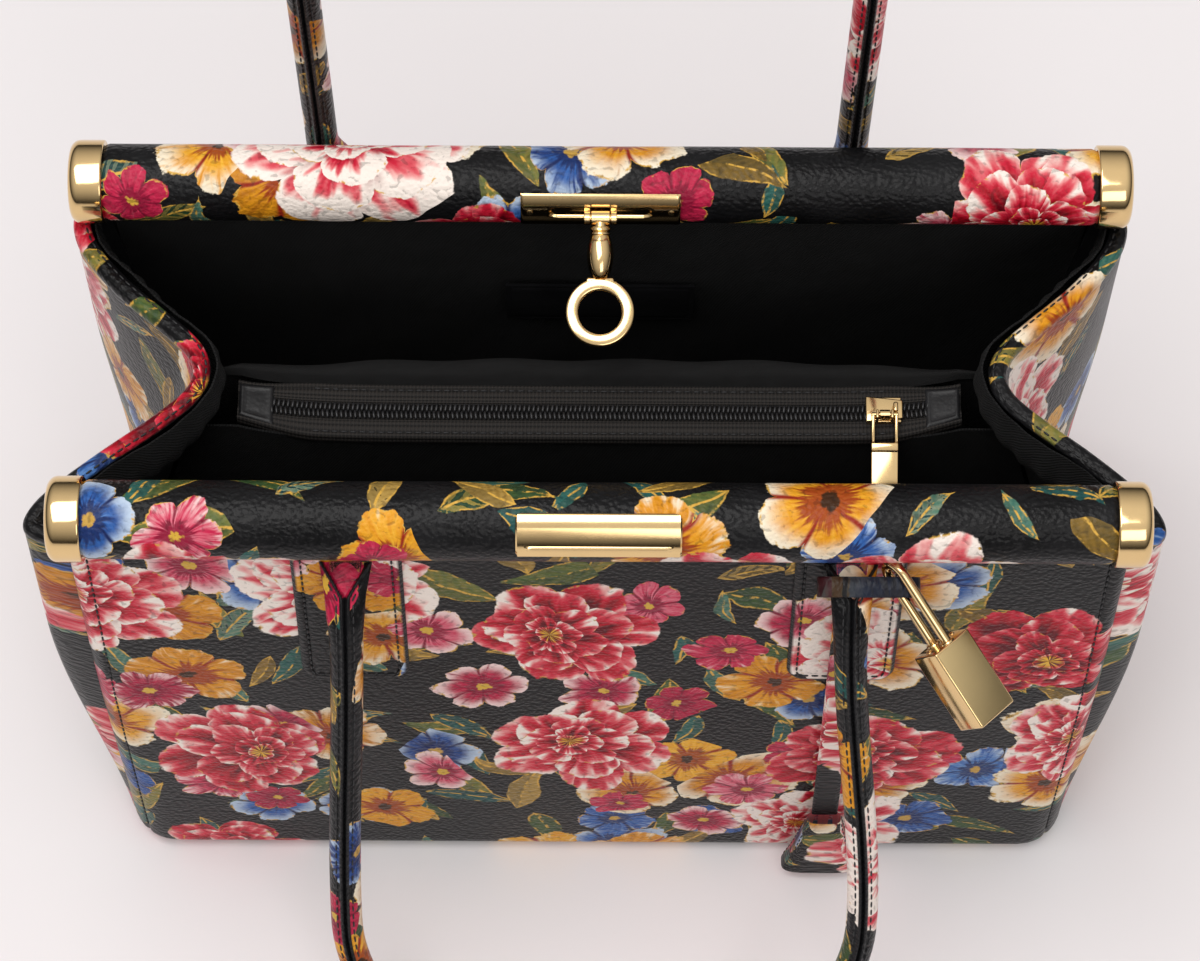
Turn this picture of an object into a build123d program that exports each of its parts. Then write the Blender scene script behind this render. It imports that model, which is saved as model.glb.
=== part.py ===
from build123d import *
import os
from math import asin, atan2, cos, degrees, hypot, radians, sin, sqrt

os.makedirs("parts", exist_ok=True)

# Roll-frame handbag, in millimetres. X runs along the bars, -Y is the front, the base stands on Z = 0.

# Leather body
panel_width = 332
body_height = 214
base_depth = 170
mouth_depth = 128
panel_crown = 2.5
base_edge_radius = 8
leather = 2.2
lining = 0.8
board = 2
seam_gap = 0.3
overrun = 40
board_margin = 12
lining_margin = 11

# Side gussets that fold inwards towards the mouth
fold_depth = 38
lobe_reach = 11
facing_height = 9
facing = 1.2
gusset_tuck_share = -0.3
# Share of the half depth, of the lobe and of the fold, from the middle of the gusset to its seam
gusset_shares = (
    (0, 0, 1), (0.2, 0, 0.8), (0.44, 0.14, 0.34), (0.66, 0.58, 0.06), (0.88, 1, 0), (1, gusset_tuck_share, 0),
)
# Share of the height, and of the fold's depth there
fold_shares = ((0, 0.03), (0.25, 0.12), (0.5, 0.33), (0.75, 0.62), (1, 1))
lobe_base_share = 0.12

# Bars at the mouth
bar_length = 340
bar_inset = 4.5
bar_rise = 14
bar_radius = 12.4
tube_radius = 10.6
tube_wall = 1.2
cap_radius = 13.4
cap_length = 11
cap_wall = 1.4
cap_round = 2.4
press_clearance = 0.05

# Catch plate on the front bar
plate_width = 51
plate_thickness = 1.4
plate_rim = 2
plate_recess = 0.5
catch_height = 17.4
catch_centre = 40
catch_ledge = 1.2
catch_ledge_height = 0.9

# Clasp on the back bar
clasp_height = 13.5
clasp_centre = 20
clasp_slot_width = 33
clasp_slot_height = 4.2
clasp_droop = 25
clasp_pin_radius = 1.2
clasp_pin_offset = 2.6
clasp_ear_width = 2
clasp_ear_radius = 2.2
clasp_eye_width = 6
clasp_eye_radius = 2.4
clasp_side_play = 0.25
post_radius = 4.1
post_neck_radius = 2
post_length = 19
post_sides = 8
barrel_start_share = 0.28
ring_radius = 11
ring_bore_radius = 7
ring_thickness = 2.8
ring_shoulder_width = 9

# Handles
handle_radius = 5.8
handle_sides = 10
handle_width = 172
handle_splay = 7
handle_spare = 16
handle_flare = 45
handle_flare_radius = 200
handle_crown_flat = 2
hinge_stand = 15.5
hinge_drop = 9
hinge_barrel_radius = 2.6
tongue_width = 16
tongue_thickness = 4
tongue_length = 17
tongue_lap = 4
floor_clearance = 0.3
back_handle_lean = 2

# Stitched tabs that hold the handles
tab_width = 35
tab_height = 80
tab_thickness = 1.6
tab_corner = 7
tab_top_gap = 1.5
lug_thickness = 3
lug_rise = 6.5
hinge_gap = 0.5

# Divider pocket with its zip
pocket_wall = 1
pocket_bottom = 40
zip_drop = 24
zip_width = 18
zip_end_margin = 11
pocket_seam_width = 2.6
pocket_gap = 0.6
tape_thickness = 0.8
coil_width = 2.6
coil_height = 2
coil_gap = 0.2
zip_tab_length = 14
zip_tab_thickness = 1
slider_length = 12
slider_wall = 1
slider_place = 92
slider_clearance = 0.3
slider_ear_width = 1
pull_width = 8
pull_thickness = 1.2
pull_length = 30
pull_neck = 9
pull_shoulder = 2
pull_dip = 26
pull_eye_width = 3.4
pull_eye_radius = 1.6
pull_pin_radius = 0.8
pull_side_play = 0.2

# Bare leather patch on the back lining
label_width = 64
label_height = 32
label_thickness = 1
label_drop = 73

# Lock loop, padlock and fob
loop_width = 6.5
loop_thickness = 1.5
loop_start = 5.8
loop_clearance = 1.5
loop_reach = 12
case_length = 28
case_width = 15
case_depth = 13
case_edge = 0.7
shackle_radius = 1.6
shackle_sides = 8
shackle_spread = 8.2
shackle_clear = 31.5
shackle_seat = 9
shackle_lead = 4.5
hook_reach = 8
lock_turn = 34
lock_dip = 11
lock_roll = 25
strap_width = 9
strap_thickness = 1.5
strap_stand_off = 2.2
bell_height = 46
bell_top_width = 12
bell_width = 27
bell_top_depth = 5
bell_depth = 9
bell_lift = 6
bell_corner = 1.6

# Places worked out from the sizes above
diagonal_share = sqrt(0.5)
half_width = panel_width / 2
belly_height = body_height / 2
belly_depth = (base_depth + mouth_depth) / 4 + panel_crown
inside_inset = leather + seam_gap
lining_inset = inside_inset + lining
facing_level_share = 1 - facing_height / body_height
gusset_level_shares = sorted([level_share for level_share, _ in fold_shares] + [facing_level_share])
sleeve_length = bar_length - 2 * cap_length
bar_height = body_height + bar_rise
bar_spacing = mouth_depth - 2 * bar_inset
hinge_height = body_height - hinge_drop
hinge_depth = mouth_depth + 2 * hinge_stand
zip_height = body_height - zip_drop
label_place = body_height - label_drop
handle_spread = handle_width - 2 * handle_splay
handle_drop = hinge_height + handle_spare
handle_crown_radius = handle_width / 2 - handle_crown_flat
widest_depth = max(base_depth / 2, belly_depth)


def write(name, builder):
    builder.part.label = name
    export_step(builder.part, f"parts/{name}.step")


def wall_line(side, inset):
    """Draw a panel's line at a depth inside its outer face, from its foot to its top edge."""
    radius = base_edge_radius - inset
    centre = side * (base_depth / 2 - base_edge_radius)
    diagonal = radius * diagonal_share
    foot = (centre, inset)
    bend = (centre + side * diagonal, base_edge_radius - diagonal)
    heel = (centre + side * radius, base_edge_radius)
    belly = (side * (belly_depth - inset), belly_height)
    top = (side * (mouth_depth / 2 - inset), body_height)
    ThreePointArc(foot, bend, heel)
    ThreePointArc(heel, belly, top)
    return foot, top


def wall_profile(plane, side, outer, inner):
    """The section of one layer of a panel, between two depths inside its outer face."""
    with BuildSketch(plane) as profile:
        with BuildLine():
            outer_foot, outer_top = wall_line(side, outer)
            inner_foot, inner_top = wall_line(side, inner)
            Line(outer_foot, inner_foot)
            Line(outer_top, inner_top)
        make_face()
    return profile.sketch


def inside_profile(inset):
    """The outline of the hollow between both panels and the base."""
    with BuildSketch(Plane.YZ) as profile:
        with BuildLine():
            front_foot, front_top = wall_line(-1, inset)
            back_foot, back_top = wall_line(1, inset)
            Line(front_foot, back_foot)
            Line(front_top, back_top)
        make_face()
    return profile.sketch


def valley(level_share):
    """How far the middle of a gusset folds inwards at a share of its height."""
    low, high = next(pair for pair in zip(fold_shares, fold_shares[1:]) if level_share <= pair[1][0])
    climb = (level_share - low[0]) / (high[0] - low[0])
    return fold_depth * (low[1] + (high[1] - low[1]) * climb)


def gusset_points(level_share, inset):
    """Points of a gusset's section, front to back, at a depth inside its outer face."""
    lobe = lobe_reach * (lobe_base_share + (1 - lobe_base_share) * level_share)
    half_depth = (base_depth + (mouth_depth - base_depth) * level_share) / 2
    halves = []
    for depth_share, lobe_share, fold_share in gusset_shares:
        out = half_width + lobe * lobe_share - valley(level_share) * fold_share
        halves.append((out, half_depth * depth_share))
    line = [(out, -depth) for out, depth in reversed(halves)] + halves[1:]
    points = []
    for index, (out, depth) in enumerate(line):
        before = line[max(index - 1, 0)]
        after = line[min(index + 1, len(line) - 1)]
        run = hypot(after[0] - before[0], after[1] - before[1])
        shift = inset / run
        points.append((out - shift * (after[1] - before[1]), depth + shift * (after[0] - before[0])))
    return points


def gusset_section(side, level_share, outer, inner):
    """The closed section of one layer of a gusset at a share of its height."""
    outside = [(side * out, depth) for out, depth in gusset_points(level_share, outer)]
    inside = [(side * out, depth) for out, depth in gusset_points(level_share, inner)]
    with BuildSketch(Plane.XY.offset(body_height * level_share)) as section:
        with BuildLine():
            Polyline(*outside)
            Polyline(*inside)
            Line(outside[0], inside[0])
            Line(outside[-1], inside[-1])
        make_face()
    return section.sketch.face()


def gusset_layer(side, level_shares, outer, inner):
    """One layer of a gusset, trimmed to the hollow between the panels."""
    with BuildPart() as layer:
        loft([gusset_section(side, level_share, outer, inner) for level_share in level_shares], ruled=True)
        extrude(inside_profile(inside_inset), amount=half_width + overrun, both=True, mode=Mode.INTERSECT)
    return layer


# Front and back panels, each with its foot turned under the base
for side, name in ((-1, "front_panel"), (1, "back_panel")):
    with BuildPart() as panel:
        extrude(wall_profile(Plane.YZ, side, 0, leather), amount=half_width, both=True)
    write(name, panel)

# Base leather between the two turned feet, the board on it and its lining
foot_place = base_depth / 2 - base_edge_radius
with BuildPart() as base_panel:
    with BuildSketch():
        Rectangle(panel_width, 2 * foot_place)
    extrude(amount=leather)
write("base_panel", base_panel)

with BuildPart() as base_board:
    with BuildSketch(Plane.XY.offset(leather)):
        RectangleRounded(panel_width - 2 * board_margin, 2 * foot_place, base_edge_radius)
    extrude(amount=board)
write("base_board", base_board)

with BuildPart() as base_lining:
    with BuildSketch(Plane.XY.offset(leather + board)):
        RectangleRounded(panel_width - 2 * board_margin, 2 * foot_place, base_edge_radius)
    extrude(amount=lining)
write("base_lining", base_lining)

# Front and back lining, hung inside the panels
for side, name in ((-1, "front_lining"), (1, "back_lining")):
    with BuildPart() as cloth:
        cloth_profile = wall_profile(Plane.YZ, side, inside_inset, lining_inset)
        extrude(cloth_profile, amount=half_width - lining_margin, both=True)
        with BuildSketch(Plane.XY.offset(leather + board + lining + seam_gap)):
            Rectangle(panel_width + overrun, base_depth + overrun)
        extrude(amount=body_height, mode=Mode.INTERSECT)
    write(name, cloth)

# Gussets: ruled sheets through sections that fold deeper towards the mouth, with a facing along the top
for side, place in ((-1, "left"), (1, "right")):
    gusset = gusset_layer(side, gusset_level_shares, 0, leather)
    write(f"{place}_gusset", gusset)
    gusset_facing = gusset_layer(side, (facing_level_share, 1), leather, leather + facing)
    write(f"{place}_gusset_facing", gusset_facing)

# Bars: a tube, the leather rolled round it and a drawn cap pressed over each end
for side, place in ((-1, "front"), (1, "back")):
    axis = (side * bar_spacing / 2, bar_height)
    with BuildPart() as tube:
        with BuildSketch(Plane.YZ):
            with Locations(axis):
                Circle(tube_radius)
                Circle(tube_radius - tube_wall, mode=Mode.SUBTRACT)
        extrude(amount=bar_length / 2 - cap_wall, both=True)
    write(f"{place}_bar_tube", tube)

    with BuildPart() as roll:
        with BuildSketch(Plane.YZ):
            with Locations(axis):
                Circle(bar_radius)
                Circle(tube_radius + press_clearance, mode=Mode.SUBTRACT)
        extrude(amount=sleeve_length / 2, both=True)
    write(f"{place}_bar_roll", roll)

    for end, hand in ((-1, "left"), (1, "right")):
        cap_origin = (end * sleeve_length / 2, *axis)
        bore = tube_radius + press_clearance
        with BuildPart() as cap:
            with BuildSketch(Plane(origin=cap_origin, x_dir=(end, 0, 0), z_dir=(0, -end, 0))):
                with BuildLine():
                    Polyline(
                        (0, bore),
                        (0, cap_radius),
                        (cap_length - cap_round, cap_radius),
                        (cap_length, cap_radius - cap_round),
                        (cap_length, 0),
                        (cap_length - cap_wall, 0),
                        (cap_length - cap_wall, bore),
                        close=True,
                    )
                make_face()
            revolve(axis=Axis(cap_origin, (1, 0, 0)))
        write(f"{place}_{hand}_cap", cap)


def plate_section(axis, centre_angle, arc, low, high):
    """A plate's curved section over the front of a bar, between two radii."""
    angles = [radians(centre_angle + turn * arc / 2) for turn in (-1, 0, 1)]
    rows = []
    for radius in (low, high):
        rows.append([(axis[0] - radius * cos(angle), axis[1] + radius * sin(angle)) for angle in angles])
    with BuildSketch(Plane.YZ) as section:
        with BuildLine():
            ThreePointArc(*rows[0])
            ThreePointArc(*rows[1])
            Line(rows[0][0], rows[1][0])
            Line(rows[0][2], rows[1][2])
        make_face()
    return section.sketch


plate_floor = bar_radius + press_clearance
plate_top = plate_floor + plate_thickness
front_axis = (-bar_spacing / 2, bar_height)
back_axis = (bar_spacing / 2, bar_height)

# Catch plate: a rimmed plate curved over the front bar, with a ledge along its lower half
catch_arc = degrees(catch_height / plate_top)
rim_arc = degrees(plate_rim / plate_top)
ledge_arc = degrees(catch_ledge / plate_top)
ledge_centre = catch_centre - catch_arc / 2 + rim_arc + ledge_arc
catch_body = plate_section(front_axis, catch_centre, catch_arc, plate_floor, plate_top)
catch_field = plate_section(
    front_axis, catch_centre, catch_arc - 2 * rim_arc, plate_top - plate_recess, plate_top + plate_recess
)
catch_step = plate_section(front_axis, ledge_centre, ledge_arc, plate_floor, plate_top + catch_ledge_height)
with BuildPart() as catch_plate:
    extrude(catch_body, amount=plate_width / 2, both=True)
    extrude(catch_field, amount=plate_width / 2 - plate_rim, both=True, mode=Mode.SUBTRACT)
    extrude(catch_step, amount=plate_width / 2 - 2 * plate_rim, both=True)
write("catch_plate", catch_plate)

# Clasp plate with a slot, and the two ears that hold the clasp pin
clasp_arc = degrees(clasp_height / plate_top)
clasp_angle = radians(clasp_centre)
pivot_radius = plate_top + clasp_pin_offset
pivot = Vector(
    0, back_axis[0] - pivot_radius * cos(clasp_angle), back_axis[1] + pivot_radius * sin(clasp_angle)
)
slot_arc = degrees(clasp_slot_height / plate_top)
ear_place = clasp_eye_width / 2 + clasp_side_play
pivot_point = (pivot.Y, pivot.Z)
plate_point = (
    back_axis[0] - plate_floor * cos(clasp_angle), back_axis[1] + plate_floor * sin(clasp_angle)
)
clasp_body = plate_section(back_axis, clasp_centre, clasp_arc, plate_floor, plate_top)
clasp_slot = plate_section(
    back_axis, clasp_centre, slot_arc, plate_top - plate_recess, plate_top + plate_recess
)
with BuildPart() as clasp_plate:
    extrude(clasp_body, amount=plate_width / 2, both=True)
    extrude(clasp_slot, amount=clasp_slot_width / 2, both=True, mode=Mode.SUBTRACT)
    for end in (-1, 1):
        with BuildSketch(Plane.YZ.offset(end * ear_place)):
            with BuildLine():
                Line(plate_point, pivot_point)
            trace(line_width=2 * clasp_ear_radius)
            with Locations(pivot_point):
                Circle(clasp_ear_radius)
                Circle(clasp_pin_radius + press_clearance, mode=Mode.SUBTRACT)
        extrude(amount=end * clasp_ear_width)
    with BuildSketch(Plane.YZ):
        with Locations(back_axis):
            Circle(plate_floor)
    extrude(amount=plate_width, both=True, mode=Mode.SUBTRACT)
write("clasp_plate", clasp_plate)

with BuildPart() as clasp_pin:
    with BuildSketch(Plane.YZ):
        with Locations(pivot_point):
            Circle(clasp_pin_radius)
    extrude(amount=ear_place + clasp_ear_width, both=True)
write("clasp_pin", clasp_pin)

# Clasp post: an eye on the pin and a stem with a faceted barrel, drooping forwards
droop = radians(clasp_droop)
post_dir = Vector(0, -cos(droop), -sin(droop))
ring_normal = Vector(0, -sin(droop), cos(droop))
post_plane = Plane(origin=pivot, x_dir=(1, 0, 0), z_dir=ring_normal)
barrel_length = post_length * (1 - barrel_start_share) / 2
barrel_plane = Plane(origin=pivot + post_dir * (post_length - barrel_length), x_dir=(1, 0, 0), z_dir=post_dir)
barrel_taper = degrees(atan2(post_radius - post_neck_radius, barrel_length))
with BuildPart() as clasp_post:
    with BuildSketch(Plane(origin=pivot, x_dir=(1, 0, 0), z_dir=post_dir)):
        Circle(post_neck_radius)
    extrude(amount=post_length)
    with BuildSketch(barrel_plane):
        RegularPolygon(post_radius, post_sides)
    extrude(amount=barrel_length, both=True, taper=barrel_taper)
    with BuildSketch(Plane.YZ):
        with Locations(pivot_point):
            Circle(clasp_eye_radius)
    extrude(amount=clasp_eye_width / 2, both=True)
    with BuildSketch(Plane.YZ):
        with Locations(pivot_point):
            Circle(clasp_pin_radius + press_clearance)
    extrude(amount=plate_width, both=True, mode=Mode.SUBTRACT)
write("clasp_post", clasp_post)

# Flat pull ring with square shoulders, fixed to the foot of the post
ring_centre = -post_length - ring_radius
shoulder_height = ring_radius / 2
with BuildPart() as clasp_ring:
    with BuildSketch(post_plane):
        with Locations((0, ring_centre)):
            Circle(ring_radius)
        with Locations((0, -post_length - shoulder_height / 2)):
            Rectangle(ring_shoulder_width, shoulder_height)
        with Locations((0, ring_centre)):
            Circle(ring_bore_radius, mode=Mode.SUBTRACT)
    extrude(amount=ring_thickness / 2, both=True)
write("clasp_ring", clasp_ring)

# Handles: a rolled tube on a flat tongue at each end, turning on the tabs
rest_angle = degrees(asin((hinge_height - handle_radius - floor_clearance) / handle_drop))
handle_half = handle_width / 2
spread_half = handle_spread / 2
for side, place in ((-1, "front"), (1, "back")):
    if place == "front":
        reach = Vector(0, -cos(radians(rest_angle)), -sin(radians(rest_angle)))
    else:
        reach = Vector(0, -sin(radians(back_handle_lean)), cos(radians(back_handle_lean)))
    hinge = Vector(0, side * hinge_depth / 2, hinge_height)
    handle_plane = Plane(origin=hinge, x_dir=(1, 0, 0), z_dir=Vector(1, 0, 0).cross(reach))
    flare_x = spread_half + (handle_half - spread_half) * tongue_length / handle_flare
    with BuildPart() as handle:
        with BuildLine(handle_plane) as handle_path:
            FilletPolyline(
                (-flare_x, tongue_length),
                (-handle_half, handle_flare),
                (-handle_half, handle_drop),
                (handle_half, handle_drop),
                (handle_half, handle_flare),
                (flare_x, tongue_length),
                radius=(handle_flare_radius, handle_crown_radius, handle_crown_radius, handle_flare_radius),
            )
        with BuildSketch(Plane(origin=handle_path.wire() @ 0, z_dir=handle_path.wire() % 0)):
            RegularPolygon(handle_radius, handle_sides)
        sweep()
        for hand in (-1, 1):
            with BuildSketch(handle_plane):
                with Locations((hand * spread_half, tongue_length / 2)):
                    Rectangle(tongue_width, tongue_length + tongue_lap)
            extrude(amount=tongue_thickness / 2, both=True)
            barrel_plane = Plane(
                origin=hinge + Vector(hand * spread_half, 0, 0), x_dir=(0, 1, 0), z_dir=(1, 0, 0)
            )
            with BuildSketch(barrel_plane):
                Circle(hinge_barrel_radius)
            extrude(amount=tongue_width / 2, both=True)
    write(f"{place}_handle", handle)

# Handle tabs: a patch stitched on the panel and the leather tongue that comes out from under the bar
tab_top = body_height - tab_top_gap
front_lug_root = (-mouth_depth / 2, hinge_height + lug_rise)
front_lug_run = Vector(-hinge_depth / 2 - front_lug_root[0], hinge_height - front_lug_root[1])
lug_reach = front_lug_run.normalized() * (front_lug_run.length - hinge_barrel_radius - hinge_gap)
for side, place in ((-1, "front"), (1, "back")):
    for hand, where in ((-1, "left"), (1, "right")):
        lug_root = (-side * front_lug_root[0], front_lug_root[1])
        lug_tip = (lug_root[0] - side * lug_reach.X, lug_root[1] + lug_reach.Y)
        tab_plane = Plane(origin=(hand * spread_half, 0, 0), x_dir=(0, 1, 0), z_dir=(1, 0, 0))
        with BuildPart() as tab:
            extrude(wall_profile(tab_plane, side, -tab_thickness, 0), amount=tab_width / 2, both=True)
            with BuildSketch(Plane.XZ):
                with Locations((hand * spread_half, tab_top - tab_height / 2)):
                    RectangleRounded(tab_width, tab_height, tab_corner)
            extrude(amount=-side * base_depth, mode=Mode.INTERSECT)
            with BuildSketch(tab_plane):
                with BuildLine():
                    Line(lug_root, lug_tip)
                trace(line_width=lug_thickness)
            extrude(amount=tongue_width / 2, both=True)
            extrude(inside_profile(0), amount=panel_width, both=True, mode=Mode.SUBTRACT)
        write(f"{place}_{where}_tab", tab)

# Divider pocket: two walls sewn together at the bottom and hung between the gusset folds
pocket_top = zip_height
low_share = pocket_bottom / body_height
high_share = pocket_top / body_height
bend_shares = [level_share for level_share, _ in fold_shares if low_share < level_share < high_share]
pocket_side = []
for level_share in (low_share, *bend_shares, high_share):
    pocket_side.append((half_width - valley(level_share) - leather - pocket_gap, body_height * level_share))
for side, name in ((-1, "pocket_front"), (1, "pocket_back")):
    with BuildPart() as pocket:
        with BuildSketch(Plane.YZ):
            with BuildLine():
                Polyline(
                    (side * pocket_seam_width / 2, pocket_bottom),
                    (side * (zip_width / 2 - pocket_wall), pocket_top),
                    (side * zip_width / 2, pocket_top),
                    (side * zip_width / 2, pocket_top - zip_width),
                    (side * (pocket_seam_width / 2 + pocket_wall), pocket_bottom),
                    close=True,
                )
            make_face()
        extrude(amount=half_width, both=True)
        with BuildSketch(Plane.XZ):
            with BuildLine():
                Polyline(*pocket_side, *[(-out, height) for out, height in reversed(pocket_side)], close=True)
            make_face()
        extrude(amount=base_depth, both=True, mode=Mode.INTERSECT)
    write(name, pocket)

# Zip: a tape and a row of coil on each side, leather tabs at the ends
zip_top = zip_height + tape_thickness + zip_tab_thickness
zip_half = half_width - valley(zip_top / body_height) - leather - zip_end_margin
chain_half = zip_half - zip_tab_length
for side, place in ((-1, "front"), (1, "back")):
    with BuildPart() as tape:
        with BuildSketch(Plane.XY.offset(zip_height)):
            with Locations((0, side * (zip_width / 2 + coil_gap / 2) / 2)):
                Rectangle(2 * zip_half, zip_width / 2 - coil_gap / 2)
        extrude(amount=tape_thickness)
    write(f"{place}_zip_tape", tape)

    coil_middle = side * (coil_gap + coil_width) / 2
    with BuildPart() as coil:
        with BuildSketch(Plane.YZ):
            with Locations((coil_middle, zip_height + tape_thickness + coil_height / 2)):
                SlotOverall(coil_width, coil_height)
        extrude(amount=chain_half, both=True)
    write(f"{place}_zip_coil", coil)

for hand, where in ((-1, "left"), (1, "right")):
    with BuildPart() as zip_tab:
        with BuildSketch(Plane.XY.offset(zip_height + tape_thickness)):
            with Locations((hand * (zip_half - zip_tab_length / 2), 0)):
                Rectangle(zip_tab_length, zip_width)
        extrude(amount=zip_tab_thickness)
    write(f"{where}_zip_tab", zip_tab)

# Slider: a hood over the coil with lips at both sides, and two ears at its front with the pin of the pull
hood_floor = zip_height + tape_thickness + coil_height + slider_clearance
hood_half = coil_gap / 2 + coil_width + slider_clearance
hood_top = hood_floor + slider_wall
lip_bottom = zip_height + tape_thickness + slider_clearance
pull_pivot = Vector(slider_place, -hood_half, hood_top + pull_eye_radius + slider_clearance)
ear_start = pull_eye_width / 2 + pull_side_play
with BuildPart() as slider:
    with BuildSketch(Plane.XY.offset(lip_bottom)):
        with Locations((slider_place, 0)):
            Rectangle(slider_length, 2 * (hood_half + slider_wall))
    extrude(amount=hood_top - lip_bottom)
    with BuildSketch(Plane.YZ.offset(slider_place)):
        with Locations((0, (zip_height + hood_floor) / 2)):
            Rectangle(2 * hood_half, hood_floor - zip_height)
    extrude(amount=slider_length, both=True, mode=Mode.SUBTRACT)
    for end in (-1, 1):
        with BuildSketch(Plane.YZ.offset(slider_place + end * ear_start)):
            with Locations((pull_pivot.Y, pull_pivot.Z)):
                Circle(pull_eye_radius)
            with Locations((pull_pivot.Y, (pull_pivot.Z + hood_floor) / 2)):
                Rectangle(2 * pull_eye_radius, pull_pivot.Z - hood_floor)
        extrude(amount=end * slider_ear_width)
    with BuildSketch(Plane.YZ.offset(slider_place)):
        with Locations((pull_pivot.Y, pull_pivot.Z)):
            Circle(pull_pin_radius)
    extrude(amount=ear_start + slider_ear_width, both=True)
write("zip_slider", slider)

# Pull: a shouldered tab on a narrow neck, resting over the front edge of the pocket
pull_dir = Vector(0, -cos(radians(pull_dip)), -sin(radians(pull_dip)))
pull_plane = Plane(origin=pull_pivot, x_dir=(1, 0, 0), z_dir=Vector(1, 0, 0).cross(pull_dir))
pull_middle = pull_neck + pull_length / 2
with BuildPart() as pull:
    with BuildSketch(pull_plane):
        with Locations((0, pull_neck / 2)):
            Rectangle(pull_eye_width, pull_neck)
        with Locations((0, pull_middle)):
            RectangleRounded(pull_width, pull_length, pull_shoulder)
    extrude(amount=pull_thickness / 2, both=True)
    with BuildSketch(Plane.YZ.offset(slider_place)):
        with Locations((pull_pivot.Y, pull_pivot.Z)):
            Circle(pull_eye_radius)
    extrude(amount=pull_eye_width / 2, both=True)
    with BuildSketch(Plane.YZ.offset(slider_place)):
        with Locations((pull_pivot.Y, pull_pivot.Z)):
            Circle(pull_pin_radius + press_clearance)
    extrude(amount=pull_width, both=True, mode=Mode.SUBTRACT)
write("zip_pull", pull)

# Bare leather patch sewn on the back lining
with BuildPart() as label_patch:
    patch_inset = lining_inset + seam_gap / 2
    patch_profile = wall_profile(Plane.YZ, 1, patch_inset, patch_inset + label_thickness)
    extrude(patch_profile, amount=label_width / 2, both=True)
    with BuildSketch(Plane.XZ):
        with Locations((0, label_place)):
            Rectangle(label_width, label_height)
    extrude(amount=-base_depth, mode=Mode.INTERSECT)
write("label_patch", label_patch)

# Lock loop: a flat leather loop round the tongue of the front right handle tab
lug_dir = Vector(0, front_lug_run.X, front_lug_run.Y).normalized()
lug_top = lug_dir.cross(Vector(1, 0, 0))
lug_origin = Vector(spread_half, *front_lug_root)
loop_height = lug_thickness + 2 * loop_clearance
loop_inner = tongue_width + loop_clearance + loop_reach
loop_centre = (loop_reach - loop_clearance) / 2
loop_plane = Plane(origin=lug_origin + lug_dir * loop_start, x_dir=(1, 0, 0), z_dir=lug_dir)
with BuildPart() as lock_loop:
    with BuildSketch(loop_plane):
        with Locations((loop_centre, 0)):
            SlotOverall(loop_inner + 2 * loop_thickness, loop_height + 2 * loop_thickness)
            SlotOverall(loop_inner, loop_height, mode=Mode.SUBTRACT)
    extrude(amount=loop_width)
write("lock_loop", lock_loop)

# Padlock: a shackle hooked round the upper side of the loop and a case that slips on its legs
turn = radians(lock_turn)
dip = radians(lock_dip)
roll = radians(lock_roll)
lock_dir = (lug_dir * cos(turn) + Vector(1, 0, 0) * sin(turn)) * cos(dip) - lug_top * sin(dip)
lock_level = Vector(1, 0, 0) * cos(turn) - lug_dir * sin(turn)
lock_up = lock_dir.cross(lock_level)
lock_across = lock_level * cos(roll) - lock_up * sin(roll)
lock_front = lock_level * sin(roll) + lock_up * cos(roll)
hook = (
    lug_origin
    + lug_dir * (loop_start + loop_width / 2)
    + Vector(1, 0, 0) * (tongue_width / 2 + hook_reach)
    + lug_top * (loop_height + loop_thickness) / 2
)
bend_centre = hook - lock_dir * shackle_lead
lock_plane = Plane(origin=bend_centre, x_dir=lock_front, z_dir=lock_front.cross(lock_dir))
leg = shackle_spread / 2
case_start = shackle_clear - leg - shackle_radius
leg_end = case_start + shackle_seat
with BuildPart() as padlock_shackle:
    with BuildLine(lock_plane) as shackle_path:
        Line((-leg, leg_end), (-leg, 0))
        ThreePointArc((-leg, 0), (0, -leg), (leg, 0))
        Line((leg, 0), (leg, leg_end))
    with BuildSketch(Plane(origin=shackle_path.wire() @ 0, z_dir=shackle_path.wire() % 0)):
        RegularPolygon(shackle_radius, shackle_sides)
    sweep()
write("padlock_shackle", padlock_shackle)

case_plane = Plane(origin=bend_centre + lock_dir * case_start, x_dir=lock_across, z_dir=lock_dir)
with BuildPart() as padlock_case:
    with BuildSketch(case_plane):
        Rectangle(case_width, case_depth)
    extrude(amount=case_length)
    chamfer(padlock_case.edges(), case_edge)
    with BuildSketch(case_plane):
        with GridLocations(0, shackle_spread, 1, 2):
            Circle(shackle_radius + press_clearance)
    extrude(amount=shackle_seat + press_clearance, mode=Mode.SUBTRACT)
write("padlock_case", padlock_case)

# Fob: a strap that hangs from the lock loop down the front panel, and the folded leather bell at its end
loop_underside = loop_height / 2 + loop_thickness
strap_top = lug_origin + lug_dir * (loop_start + loop_width / 2)
strap_top -= lug_top * (loop_underside + strap_thickness / 4 + press_clearance)
strap_high = (strap_top.Y, strap_top.Z)
strap_low = (-widest_depth - strap_stand_off - strap_thickness / 2, bell_height + seam_gap / 2)
with BuildPart() as fob_strap:
    with BuildSketch(Plane.YZ.offset(spread_half)):
        with BuildLine():
            Line(strap_high, strap_low)
        trace(line_width=strap_thickness)
    extrude(amount=strap_width / 2, both=True)
write("fob_strap", fob_strap)

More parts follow.
